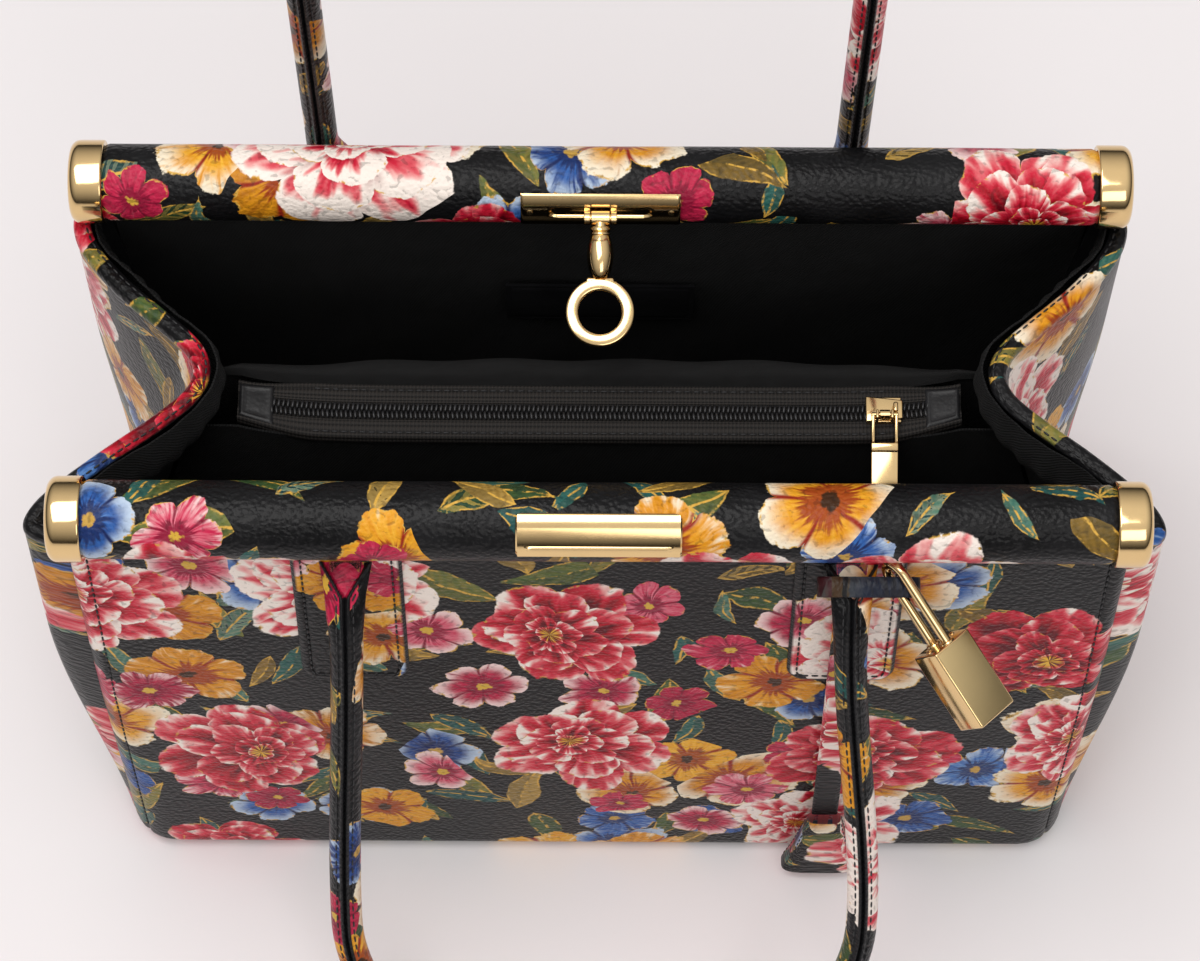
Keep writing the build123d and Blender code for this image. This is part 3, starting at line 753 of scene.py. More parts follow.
printed = make_print()
edge_paint = make_plain("edge_paint", (0.006, 0.006, 0.007), (0.014, 0.014, 0.015), 0.26)
thread = make_plain("black_thread", (0.006, 0.006, 0.007), (0.018, 0.018, 0.02), 0.5, 900)
twill = make_twill()
patch_leather = make_patch_leather(WORN_BLACK, 0.34)
gold = make_gold("gold_polish", (0.80, 0.57, 0.28), 0.07, False)
gold_brushed = make_gold("gold_brushed", (0.66, 0.50, 0.25), 0.24, True)
tape_weave = make_tape()
coil_nylon = make_plain("coil_nylon", (0.008, 0.008, 0.009), (0.022, 0.022, 0.024), 0.3, 400)
hidden_board = make_plain("hidden_board", (0.2, 0.16, 0.11), (0.32, 0.26, 0.19), 0.8)
tube_metal = make_plain("tube_metal", (0.5, 0.5, 0.52), (0.66, 0.66, 0.68), 0.35)


# Body shape: the line of a panel from its turned-under foot, round the base edge and up to the bar
BELLY = 2.5
TURNED_UNDER = 30


def arc(first, middle, last, count):
    """Points on the circle through three points."""
    a, b, c = np.array(first), np.array(middle), np.array(last)
    centre = np.linalg.solve(2 * np.array((b - a, c - a)), (b @ b - a @ a, c @ c - a @ a))
    radius = np.linalg.norm(a - centre)
    start, end = [math.atan2(y, x) for x, y in (a - centre, c - centre)]
    turn = (end - start + math.pi) % (2 * math.pi) - math.pi
    return [centre + radius * np.array((math.cos(t), math.sin(t))) for t in span(start, start + turn, count)]


heel = (HALF_BASE, BASE_EDGE)
belly = ((HALF_BASE + HALF_MOUTH) / 2 + BELLY, HEIGHT / 2)
side_line = arc(heel, belly, (HALF_MOUTH, HEIGHT), 60)
foot_centre = HALF_BASE - BASE_EDGE
foot_line = [
    (foot_centre + BASE_EDGE * math.sin(a), BASE_EDGE - BASE_EDGE * math.cos(a))
    for a in span(0, math.pi / 2, 12)
]
wall = np.array([(foot_centre - TURNED_UNDER, 0), *foot_line[:-1], *side_line])
wall_run = run_along(wall)
wall_out = directions(wall)[:, ::-1] * (1, -1)
WALL_LENGTH = wall_run[-1]


def wall_at(run):
    """Depth, height and outward direction of a panel at a distance along it from its turned-under foot."""
    spot = [np.interp(run, wall_run, wall[:, k]) for k in (0, 1)]
    out = [np.interp(run, wall_run, wall_out[:, k]) for k in (0, 1)]
    return spot, unit(out)


def run_at(height):
    """Distance along a panel from its foot to a height on its side."""
    first = len(wall) - len(side_line)
    return float(np.interp(height, wall[first:, 1], wall_run[first:]))


def corner(height):
    return CORNER_LOW + (CORNER_HIGH - CORNER_LOW) * within(height / HEIGHT) ** 0.8


def plan_corner(side, x, depth, radius):
    """A place on the rounded plan of the body and the outward direction there."""
    past = max(abs(x) - (HALF_WIDTH - radius), 0)
    turn = math.asin(min(past / radius, 1))
    out = np.array((math.copysign(math.sin(turn), x), side * math.cos(turn)))
    return np.array((x, side * (depth - radius + radius * math.cos(turn)))), out


# Panels: the seam's distance from the middle, and how far along a panel its foot and its base edge reach
SEAM = 160.2
FOOT_END = 34
EDGE_END = 46
BASE_LAP = 2


def panel_point(side, x, run, proud=0.0):
    """A place on a panel's outer face, which swells a little, or so far proud of it."""
    (depth, height), out = wall_at(run)
    if height < BASE_EDGE:
        radius = corner(BASE_EDGE)
        spot, level = plan_corner(side, x, HALF_BASE, radius)
        inset = HALF_BASE - depth
        spot = spot - level * (inset if abs(x) < HALF_WIDTH - radius else min(inset, radius - 0.5))
    else:
        spot, level = plan_corner(side, x, depth, corner(height))
    slack = math.sin(within((run - 40) / 190) * math.pi)
    swell = 0.5 * math.sin(x / 43 + 1.3) * math.sin(run / 37) + 1.1 * (1 - (x / HALF_WIDTH) ** 4)
    groove = 0.55 * dent(abs(x) - SEAM, 0.7) if run > FOOT_END else 0
    lift = slack * swell - groove + proud
    spot = spot + level * out[0] * lift
    return np.array((*spot, height + out[1] * lift))


def panel_out(side, run):
    _, out = wall_at(run)
    return np.array((0, side * out[0], out[1]))


edge_steps = [
    166, 165.6, 164.8, 163.6, 162.4, 161.5, 160.9, 160.5, 160.2, 159.9, 159.5, 158.9, 158, 156.5, 154, 150
]
panel_across = both_ends(edge_steps, span(-142, 142, 48))
panel_along = span(0, 28, 3)[:-1] + span(28, EDGE_END, 14)[:-1] + span(EDGE_END, WALL_LENGTH, 44)
seam_runs = np.linspace(EDGE_END, WALL_LENGTH - 2, 80)

for side, place in SIDES:
    name = place + "_panel"
    panel = grid_piece(
        name + "_skin", [-side * x for x in panel_across], panel_along,
        lambda x, run: panel_point(side, x, run), HIDE[name],
    )
    dress(panel, printed, edge_paint)
    thicken(panel, PANEL_WALL, 1)
    for vertex in panel.data.vertices:
        vertex.co.z = max(vertex.co.z, 0)
    smooth(panel, 60)
    fit(panel, "root", "printed_leather", name)
    seam_outs = [panel_out(side, run) for run in seam_runs]
    seams = [
        sew([panel_point(side, hand * SEAM, run, 0.15) for run in seam_runs], seam_outs) for hand, _ in HANDS
    ]
    fit(join(name + "_seam_stitches", seams), "root", "printed_leather")

base_half = foot_centre - TURNED_UNDER + BASE_LAP
base = grid_piece(
    "base_skin", span(-160, 160, 40), span(-base_half, base_half, 12),
    lambda x, y: (x, -y, 0.05 + 0.04 * max(abs(x) - 150, 0)), HIDE["base"],
)
skin(base, GUSSET_WALL)
fit(base, "root", "printed_leather", "base_panel")

# Gussets: folded inwards, deeper towards the mouth. Shares from the fold to the panel: place, lobe and fold
GUSSET_SHARES = np.array((
    (0, 0, 1), (0.12, 0, 0.93), (0.28, 0, 0.64), (0.45, 0.16, 0.32), (0.6, 0.42, 0.11),
    (0.73, 0.78, 0.02), (0.85, 1, 0), (0.95, 0.9, 0), (1, -0.2, 0),
))
GUSSET_TOP = 0.985
GUSSET_CUT = (82, 224)
fine = np.linspace(-1, 1, 401)
kernel = np.hanning(41)
kernel /= kernel.sum()


def softened(column):
    line = np.interp(np.abs(fine), GUSSET_SHARES[:, 0], GUSSET_SHARES[:, column])
    return np.convolve(np.pad(line, 20, mode="reflect", reflect_type="odd"), kernel, mode="valid")


lobe_line, fold_line = softened(1), softened(2)


def gusset_point(hand, p, level, inset=0.0):
    """A gusset's outer face at a share of its half depth and of its height, or a depth inside it."""
    lobe = LOBE * (0.12 + 0.88 * ease(0, 0.7, level))
    tuck = rounding(max(BASE_EDGE - level * HEIGHT, 0), BASE_EDGE)
    half = HALF_BASE + (HALF_MOUTH - HALF_BASE) * level - 2.3 - tuck
    valley = FOLD * (0.03 + 0.97 * level**1.7)
    fuller = 0.4 if hand < 0 else 0.15
    radius = corner(level * HEIGHT)

    def flat(q):
        swell = lobe * (1 - 0.5 * level * ease(0, 0.6, q) + fuller * ease(0, 0.6, -q))
        x = HALF_WIDTH + swell * np.interp(q, fine, lobe_line) - valley * np.interp(q, fine, fold_line)
        y = half * q
        x -= rounding(max(abs(y) - (half - radius), 0), radius)
        return np.array((x - tuck - 0.5, y))

    spot = flat(p)
    if inset:
        ahead = unit(flat(min(p + 0.01, 1)) - flat(max(p - 0.01, -1)))
        spot = spot + inset * np.array((-ahead[1], ahead[0]))
    crease = 0.7 * math.sin(9 * p + 5 * level) * level * (1 - abs(p))
    return np.array((hand * (spot[0] + crease), spot[1], level * HEIGHT))


def gusset_cut(p, level):
    return p * GUSSET_CUT[0], level * GUSSET_CUT[1]


def lining_depth(p, level):
    """How far inside the gusset its cloth hangs: a soft puckered roll under the hem, slack lower down."""
    roll = 6.5 * dent(level - 0.93, 0.05) * (1 + 0.08 * math.sin(70 * p))
    return 3.2 + 2.2 * level**6 + roll * (1 - p**4) + 0.5 * math.sin(17 * p) * level


gusset_across = span(-1, 1, 72)
gusset_levels = [0.002, 0.008, 0.016, 0.026, 0.04] + span(0.07, GUSSET_TOP, 34)
lining_across = span(-0.985, 0.985, 96)
lining_levels = span(0.03, 0.8, 20)[:-1] + span(0.8, 0.992, 16)
hem_across = span(-0.985, 0.985, 90)

# The hem's section, as inset and rise: over the edge and inwards, to its painted inner edge
HEM_SECTION = (
    (-0.35, -4.5), (-0.5, -2.2), (-0.1, -0.6), (0.7, 0.35), (1.7, 0.75), (2.9, 0.7), (4.0, 0.35), (4.9, -0.1),
    (5.5, -0.8), (5.7, -1.9),
)
HEM_SEWN, HEM_PAINTED = 6, 8

for hand, place in HANDS:
    name = place + "_gusset"
    gusset = grid_piece(
        name + "_skin", [-hand * p for p in gusset_across], gusset_levels,
        lambda p, level: gusset_point(hand, -p, level), HIDE[name], cut=gusset_cut,
    )
    skin(gusset, GUSSET_WALL, 60)
    fit(gusset, "root", "printed_leather", name)

    # Top hem: the leather turned over the edge into a soft flat band, sewn near its inner edge
    def hem_point(p, step):
        inset, rise = HEM_SECTION[step]
        return gusset_point(hand, p, GUSSET_TOP, inset) + Z * (1.6 + rise)

    hem = grid_piece(
        name + "_hem", [-hand * p for p in hem_across], rows_of(HEM_SECTION),
        lambda p, step: hem_point(-p, step), np.array(HIDE[name]) + (0, 226),
        paint=lambda p, step: float(step >= HEM_PAINTED), cut=lambda p, step: (p * GUSSET_CUT[0], step * 1.3),
    )
    dress(hem, printed, edge_paint)
    thicken(hem, HEM_WALL, 1)
    finish_mod(hem, "SUBSURF", levels=1, render_levels=1)
    smooth(hem, 70)
    fit(hem, "root", "printed_leather", name + "_facing")
    line = [hem_point(p, HEM_SEWN) + Z * 0.2 for p in np.linspace(-0.97, 0.97, 120)]
    stitches = sew(line, [Z] * len(line), 3.0, 2.2, 0.7, 0.6)
    fit(join(place + "_hem_stitches", [stitches]), "root", "printed_leather")

    # Cloth that hangs down the inside of the gusset
    cloth = cloth_piece(
        name + "_lining", [hand * p for p in lining_across], lining_levels,
        lambda p, level: gusset_point(hand, p, level, lining_depth(p, level)), cut=gusset_cut,
    )
    fit(cloth, "root", "lining_cloth")

# Lining of the panels and the base
LINING_HALF = 162
LINING_FOOT = 24

for side, place in SIDES:

    def lining_point(x, run):
        drop = within((run - FOOT_END) / (WALL_LENGTH - FOOT_END))
        slack = math.sin(drop * math.pi) * (1 - (x / LINING_HALF) ** 2)
        fold = 0.8 * math.sin(x / 21 + run / 33) + 0.6 * math.sin(x / 9 - run / 14)
        spot = panel_point(side, x * 0.985, run, -3.6 - (6.0 + fold) * slack)
        return spot + Z * 3.5 * max(1 - run / 60, 0)

    cloth = cloth_piece(
        place + "_lining_cloth", [side * x for x in span(-LINING_HALF, LINING_HALF, 76)],
        span(LINING_FOOT, WALL_LENGTH, 48), lining_point,
    )
    fit(cloth, "root", "lining_cloth", place + "_lining")

cloth = cloth_piece(
    "base_lining_cloth", span(-154, 154, 50), span(-76, 76, 22),
    lambda x, y: (x, y, 4.6 + 0.35 * math.sin(x / 17) * math.sin(y / 13)), angle=40,
)
fit(cloth, "root", "lining_cloth", "base_lining")
dress(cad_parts["base_board"], hidden_board)

# Bare leather patch on the back lining, with a groove pressed round it
PATCH_Z = 141
PATCH_GROOVE = (30.2, 14.2)
patch_across = both_ends([32, 31.7, 30.6, 30.2, 29.8], span(-26, 26, 12))
patch_up = both_ends([16, 15.7, 14.6, 14.2, 13.8], span(-11, 11, 8))


def patch_point(x, up):
    past = max(abs(x) - PATCH_GROOVE[0], abs(up) - PATCH_GROOVE[1])
    return panel_point(1, x, run_at(PATCH_Z + up), -11.6 + 0.3 * dent(past, 0.35) + 0.5 * max(past - 1.2, 0))


patch = grid_piece("label_patch_leather", [-x for x in patch_across], patch_up[::-1], patch_point)
dress(patch, patch_leather)
thicken(patch, 0.9)
smooth(patch)
fit(patch, "root", "patch_leather", "label_patch")

# Bars: leather rolled round the tubes, and gold caps on their ends
ROLL_TUCK = 157.5
CAP_X = 159
roll_across = both_ends([159.6, 159.3, 158.6, ROLL_TUCK, 155], span(-150, 150, 40))
cap_bow = [(7.8 + 3.2 * math.sin(a), 10.2 + 3.2 * math.cos(a)) for a in span(0, math.pi / 2, 8)]
CAP_PROFILE = [
    (0.3, 11.4), (0, 12.5), (0, 13.0), (0.25, 13.35), (0.7, 13.4), (3, 13.42), (6, 13.4), *cap_bow,
    (10.95, 9.4), (10.7, 9.0), (10.62, 6), (10.6, 3), (10.6, 0),
]

for side, place in SIDES:

    def roll_point(x, angle):
        tuck = 0.9 * max(abs(x) - ROLL_TUCK, 0) / 2.1
        radius = BAR_R - 0.15 - tuck + 0.12 * math.sin(x / 19 + 2 * angle) * math.sin(x / 31 + angle)
        return (x, side * BAR_Y - radius * math.sin(angle), BAR_Z - radius * math.cos(angle))

    roll = grid_piece(
        place + "_bar_leather", roll_across, span(0, 2 * math.pi, 64), roll_point, HIDE[place + "_bar"], True,
        cut=lambda x, angle: (x, angle * BAR_R),
    )
    dress(roll, printed)
    smooth(roll, 60)
    fit(roll, "root", "printed_leather", place + "_bar_roll")
    dress(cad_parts[place + "_bar_tube"], tube_metal)
    for hand, end in HANDS:
        cap = lathe((hand * CAP_X, side * BAR_Y, BAR_Z), X * hand, CAP_PROFILE, 72)
        gilt(f"{place}_{end}_cap_gold", [cap], "root", f"{place}_{end}_cap", 50)

# Catch plate on the front bar: a curved plate with eased edges and a ledge along its lower half
PLATE_HALF = 25.5
PLATE_R = 13.85
CATCH_TALL = 17.4
CATCH_ROUND = 2.2
LEDGE_LOW, LEDGE_HIGH, LEDGE_HALF = 3.4, 5.2, 22.5


def bar_point(side, x, angle, radius):
    """A point over a bar: the angle is measured upwards from straight forwards."""
    return (x, side * BAR_Y - radius * math.cos(angle), BAR_Z + radius * math.sin(angle))


def catch_point(x, up):
    low = min(up, CATCH_TALL - up)
    rim = 0.3 - 0.9 * max(0.5 - min(low, PLATE_HALF - abs(x)), 0)
    ledge = within(min((up - LEDGE_LOW) / 0.5, (LEDGE_HIGH - up) / 0.35)) * ease(0, 1.5, LEDGE_HALF - abs(x))
    inset = rounding(max(CATCH_ROUND - low, 0), CATCH_ROUND)
    x = within(x, inset - PLATE_HALF, PLATE_HALF - inset)
    return bar_point(-1, x, math.radians(11) + 0.92 * up / PLATE_R, 13.3 + rim + ledge)


catch_ends = [25.5, 25, 24.3, 23.7, 23.4, 23, 22.5, 22, 21.5, 21, 20.5, 19.5]
catch = grid_piece(
    "catch_plate", both_ends(catch_ends, span(-17.5, 17.5, 12)), span(0, CATCH_TALL, 58), catch_point
)
thicken(catch, 0.7)
gilt("catch_plate_gold", [catch], "root", "catch_plate", 35)

# Clasp plate with a long slot and two ears, its pin, the turned post and the pull ring
CLASP_TALL = 13.5
SLOT_HALF, SLOT_R = 14.4, 2.1
EAR_GAP = 3.25
PIVOT = np.array((0, 44.042, 233.626))
tilt = math.radians(20)
inward = np.array((0, math.cos(tilt), -math.sin(tilt)))
upright = np.array((0, math.sin(tilt), math.cos(tilt)))


def clasp_plate_point(x, up):
    edge = min(up, CLASP_TALL - up, PLATE_HALF - abs(x))
    from_slot = math.hypot(up - CLASP_TALL / 2, max(abs(x) - SLOT_HALF, 0))
    well = 0.75 * within((SLOT_R - from_slot) / 0.5)
    return bar_point(1, x, math.radians(-8) + up / PLATE_R, PLATE_R - 0.7 * max(0.6 - edge, 0) - well)


plate = grid_piece(
    "clasp_plate", both_ends([25.5, 24.9, 24.3, 23.5], span(-21.5, 21.5, 60)), span(0, CLASP_TALL, 45),
    clasp_plate_point,
)
thicken(plate, 0.55)
smooth(plate, 35)
plate_parts = [plate]
for end in (-1, 1):
    start = PIVOT + X * end * EAR_GAP
    rivet_spot = np.array(bar_point(1, end * 22.6, tilt, 13.7))
    plate_parts += [
        lathe(rivet_spot, -inward, [(0, 1.1), (0.25, 1.0), (0.4, 0.6), (0.45, 0)], 20),
        lathe(start, X * end, barrel(2, 2.2, 0.2), 32),
        block(start + X * end + inward * 1.4, (X, inward, upright), (2, 2.9, 4.2), 0.25, 2),
    ]
gilt("clasp_plate_gold", plate_parts, "root", "clasp_plate")
gilt("clasp_pin_gold", [lathe(PIVOT - X * 5.25, X, barrel(10.5, 1.2, 0.2), 24)], "root", "clasp_pin")

droop = math.radians(25)
hang = np.array((0, -math.cos(droop), -math.sin(droop)))
face = np.array((0, -math.sin(droop), math.cos(droop)))
post_belly = [(5.5 + 12.8 * k / 12, 2.9 + 1.35 * math.sin(math.pi * k / 12) ** 0.8) for k in range(1, 12)]
POST_PROFILE = [
    (0.6, 0), (0.6, 2.0), (2.6, 2.1), (2.8, 3.1), (3.2, 3.4), (3.9, 3.4), (4.2, 3.0), (4.4, 2.9), (4.7, 3.3),
    (5.2, 3.3), (5.5, 2.9), *post_belly, (18.3, 2.8), (18.8, 2.5), (19, 2.3), (19, 0),
]
post = lathe(PIVOT, hang, POST_PROFILE, 40)
eye = lathe(PIVOT - X * 3, X, barrel(6, 2.4, 0.2, 1.3), 32)
gilt("clasp_post_gold", [post, eye], "clasp", "clasp_post")

# The ring's section, as radius and height, and its shoulder against the post
RING_SECTION = [
    (7.0, -0.9), (7.0, 0.9), (7.35, 1.28), (7.8, 1.4), (10.2, 1.4), (10.7, 1.25), (11.0, 0.8), (11.0, -0.8),
    (10.7, -1.25), (10.2, -1.4), (7.8, -1.4), (7.35, -1.28), (7.0, -0.9),
]
ring_middle = PIVOT + hang * 30


def ring_point(turn, step):
    radius, high = RING_SECTION[step]
    angle = 2 * math.pi * turn
    return ring_middle + radius * (X * math.sin(angle) - hang * math.cos(angle)) + face * high


ring = grid_piece("clasp_ring", span(0, 1, 96), rows_of(RING_SECTION), ring_point, weld=True)
shoulder = block(PIVOT + hang * 20.4, (-hang, X, -face), (2.8, 9.8, 2.6), 0.6, 3, 8.6 / 9.8)
gilt("clasp_ring_gold", [ring, shoulder], "clasp", "clasp_ring")

# Handles: a rolled tube sewn along its face, which opens into a flat tongue and bends over its hinge
TONGUE, BEND, LEG_TOP, CROWN, SPLAY = 14.8, 6, 137, 84, 7
SECTION_ENDS = (-15, -5, 8, 22)
SECTION_WIDE = (8.4, 6.6, 5.6, 5.2)
SECTION_THICK = (1.7, 2.4, 4.4, 5.2)


def handle_path(start, settle, sway):
    """The handle laid flat: across and along at each step, its length so far and its direction."""
    runs = span(-TONGUE, 14, 44)[:-1] + span(14, LEG_TOP, 46)
    leg = [(-SPREAD - SPLAY * ease(start, settle, run), run) for run in runs]
    turns = span(0, math.pi / 2, 33)[1:]
    arch = [(-2 - CROWN * math.cos(a), LEG_TOP + CROWN * math.sin(a)) for a in turns]
    half = leg + arch
    flat = np.array(half + [(-x, run) for x, run in half[::-1]])
    flat[:, 0] += [sway * ease(start, settle, run) for run in flat[:, 1]]
    return flat, run_along(flat), directions(flat)


def handle_section(end):
    """Half width and half thickness of the handle at a distance from its hinge, below 0 on the tongue."""
    return np.interp(end, SECTION_ENDS, SECTION_WIDE), np.interp(end, SECTION_ENDS, SECTION_THICK)


def throat(end):
    """Half the gap between the two painted edges: shut along the handle, open in a V on the tongue."""
    return 0.55 + 6.7 * within((-3.5 - end) / 11)


def make_handle(name, side, reach, start, settle, sway):
    """A handle that reaches out from its hinge, and spreads and sways between two places on its leg."""
    flat, lengths, steps = handle_path(start, settle, sway)
    hinge = np.array((0, side * HINGE_Y, HINGE_Z))
    tongue = unit((0, side * 15.5, -6.5))

    def spine(run):
        """Centre, direction and outward direction of the strap, bent round the hinge."""
        share = within((run + BEND) / (2 * BEND))
        ahead = unit(tongue * (1 - share) + reach * share)
        if run < -BEND:
            centre = tongue * run
        elif run > BEND:
            centre = reach * run
        else:
            centre = reach * BEND * share**2 - tongue * BEND * (1 - share) ** 2
        return hinge + centre, ahead, side * np.cross(X, ahead)

    def place(angle, step, proud=0.0):
        x, run = flat[step]
        wide, thick = handle_section(run)
        centre, ahead, out = spine(run)
        across = X * steps[step][1] - ahead * steps[step][0]
        lateral, high = wide * math.sin(angle), -thick * math.cos(angle)
        if math.cos(angle) < 0:
            inner = throat(run) - abs(lateral)
            high += 0.75 * dent(inner + 0.5, 0.55) - 1.1 * ease(0, 0.8, inner)
        return centre + X * x + across * lateral + out * (high + proud)

    def paint(angle, step):
        """1 on the two painted edges, and on the closed throat between them."""
        run = flat[step][1]
        lateral = abs(handle_section(run)[0] * math.sin(angle))
        inner = throat(run)
        edge = inner - 0.25 < lateral < inner + 1.1 or (inner < 0.8 and lateral < inner)
        return float(edge and math.cos(angle) <= 0)

    fine_turns = [math.pi + s * w for s in (-1, 1) for w in np.linspace(0.03, 1.35, 36)]
    angles = sorted(set([2 * math.pi * k / 30 for k in range(31)] + fine_turns))
    handle = grid_piece(
        name + "_leather", angles, rows_of(flat), place, HIDE[name], True, paint,
        cut=lambda angle, step: (angle * 5.8, lengths[step]),
    )
    fill_holes(handle)
    dress(handle, printed)
    smooth(handle, 60)
    rows = []
    for hand in (-1, 1):
        line, lift = [], []
        for step in range(1, len(flat) - 1):
            run = flat[step][1]
            wide = handle_section(run)[0]
            share = (throat(run) + 2.1) / wide
            if share < 0.8:
                line.append(place(math.pi - hand * math.asin(share), step, 0.12))
                lift.append(spine(run)[2])
        rows.append(sew(line, lift, 3.6, 2.6, 0.65, 0.6))
    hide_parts(name)
    stitches = join(name + "_stitches", rows)
    middle = unit(tongue + reach)
    for piece in (handle, stitches):
        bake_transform(piece)


# The front handle lies down to the floor, and the back handle stands with a small lean
lying = math.asin((HINGE_Z - 5.8 - 0.3) / (LEG_TOP + CROWN))
make_handle("front_handle", -1, np.array((0, -math.cos(lying), -math.sin(lying))), 0, LEG_TOP, 2.5)
lean = math.radians(2)
make_handle("back_handle", 1, np.array((0, -math.sin(lean), math.cos(lean))), -12, 18, -4.5)

# Handle tabs: a sewn patch on the panel, and the tongue that comes out from under the bar to the handle
TAB_HALF = 17.5
TAB_ROUND = 7
TAB_HEM = 3.2
tab_low, tab_high = run_at(138.5), run_at(213)
tab_length = tab_high - tab_low
tab_across = both_ends([1, 0.985, 0.95, 0.9, 0.86, 0.83, 0.815, 0.8, 0.77, 0.7], span(-0.6, 0.6, 10))
tab_up = [0, 0.25, 0.8, 1.7, 3, 4.8, 7, 10] + span(14, tab_length, 18)


def tab_half(up):
    """Half the width of a tab at a height above its rounded lower edge."""
    return TAB_HALF - rounding(max(TAB_ROUND - up, 0), TAB_ROUND)


def tab_edge(share, up):
    """Distance from the nearest cut edge of a tab."""
    return min(tab_half(up) * (1 - abs(share)), up)


def tab_lift(share, up):
    """How far a tab stands off the panel: rounded at its edge and drawn in along its stitches."""
    inner = tab_edge(share, up)
    return 1.5 - 0.9 * max(1 - inner / 1.4, 0) ** 2 - 0.35 * dent(inner - TAB_HEM, 0.6)


# The line of stitches down one side of a tab, round its corner, across and up the other side
tab_seam = [(1 - TAB_HEM / TAB_HALF, up) for up in span(tab_length - 1, 8, 39)]
for left in span(1, 0, 7)[1:]:
    tab_seam.append((1 - TAB_HEM / tab_half(TAB_HEM + 4.8 * left), TAB_HEM + 4.8 * left**2))
tab_seam += [(share, TAB_HEM) for share in span(0.66, 0, 15)]
tab_seam += [(-share, up) for share, up in tab_seam[-2::-1]]

for side, place in SIDES:
    for hand, where in HANDS:
        name = f"{place}_{where}_tab"

        def tab_point(share, up, proud):
            return panel_point(side, hand * SPREAD + tab_half(up) * share, tab_low + up, proud)

        tab = grid_piece(
            "patch", [-side * share for share in tab_across], tab_up,
            lambda share, up: tab_point(share, up, tab_lift(share, up)),
            (200 + 90 * hand + 300 * side, 1000), cut=lambda share, up: (TAB_HALF * share, up),
            paint=lambda share, up: float(tab_edge(share, up) < 1.1),
        )
        skin(tab, TAB_WALL, 50)
        line = [tab_point(share, up, 1.45) for share, up in tab_seam]
        outs = [panel_out(side, tab_low + up) for _, up in tab_seam]
        stitches = sew(line, outs, 3.2, 2.3, 0.7, 0.65)
        root = np.array((hand * SPREAD, side * 63.2, 212.0))
        tip = np.array((hand * SPREAD, side * (HINGE_Y - 4.6), HINGE_Z + 2.0))
        top = unit(np.cross(X, tip - root))
        top = top * np.sign(top[2])

        def tongue_point(turn, step):
            angle = 2 * math.pi * turn
            lateral, high = 5.0 * squared(math.cos(angle), 0.4), 0.5 * squared(math.sin(angle), 0.6)
            return root + (tip - root) * step + X * lateral + top * high

        tongue = grid_piece(
            "tongue", span(0, 1, 40), span(0, 1, 8), tongue_point, (500 + 60 * hand, 1210 + 40 * side), True,
            cut=lambda turn, step: (turn * 36, step * 17),
        )
        fill_holes(tongue)
        dress(tongue, printed)
        smooth(tongue, 60)
        fit(join(name + "_patch", [tab, tongue]), "root", "printed_leather", name)
        fit(join(name + "_stitches", [stitches]), "root", "printed_leather")

# Divider pocket with its zip
ZIP_HALF, ZIP_Z = 117, 190.8
CHAIN_HALF, TOOTH_PITCH = 106, 1.5
ZIP_DROP, ZIP_BOW = 2.1, 3.2
POCKET_LOW, POCKET_RISE = 40, 150.5
POCKET_HEIGHTS = (40, 107, 160, 190.5)
POCKET_HALVES = (159, 150, 139, 131)


def zip_point(x, y, z, share=1):
    """A place by the zip, which hangs a little lower in its middle and bends forward there."""
    bow = share * (1 - min(abs(x) / ZIP_HALF, 1) ** 8)
    return (x, y - ZIP_BOW * bow, z - ZIP_DROP * bow)


# Rows up a pocket wall, as height and share of the swell; the back wall swells behind the zip and turns to it
wall_rows = [(z, 1.0) for z in span(POCKET_LOW, 184, 30) + [186, 187.5, 188.5, 189.3, 189.8]]
turned_rows = [(190.4 + 2.4 * math.sin(t * math.pi), 1 - t) for t in np.linspace(0.1, 1, 9)]

for side, place, crest, rows, length in (
    (-1, "front", 0.0, wall_rows, 0.152), (1, "back", 11.0, wall_rows + turned_rows, 0.168)
):

    def pocket_point(share, step):
        z, over_top = rows[step]
        rise = min((z - POCKET_LOW) / POCKET_RISE, 1)
        x = float(np.interp(z, POCKET_HEIGHTS, POCKET_HALVES)) * share
        bulge = 1.2 * math.sin(math.pi * rise) * (1 + 0.5 * math.sin(x / 37))
        swell = crest * (1 - share**4 + math.sin(x / 6.5) / 22) * rise**3 * over_top
        return zip_point(x, side * (1.9 + 7.2 * rise**1.2 + bulge + swell), z, rise)

    pocket = cloth_piece(
        f"pocket_{place}_cloth", [-side * share for share in span(-1, 1, 90)], rows_of(rows), pocket_point,
        POCKET_WALL, cut=lambda share, step: (share * 150, step * 4.8),
    )
    fit(pocket, "root", "lining_cloth", "pocket_" + place)

# The section of the zip's woven band, as depth and rise: from its folded outer edge to the open chain
BAND_SECTION = (
    (9.6, -2.2), (9.5, -0.3), (9.1, 0.65), (8.4, 0.7), (8.0, 0.15), (5.6, 0.4), (4.0, 0.6), (3.3, 0.35),
    (3.0, -0.2), (2.9, -0.6),
)
BAND_INNER = 2.9
zip_across = span(-ZIP_HALF, ZIP_HALF, 80)
sewn_across = np.linspace(24 - ZIP_HALF, ZIP_HALF - 24, 120)

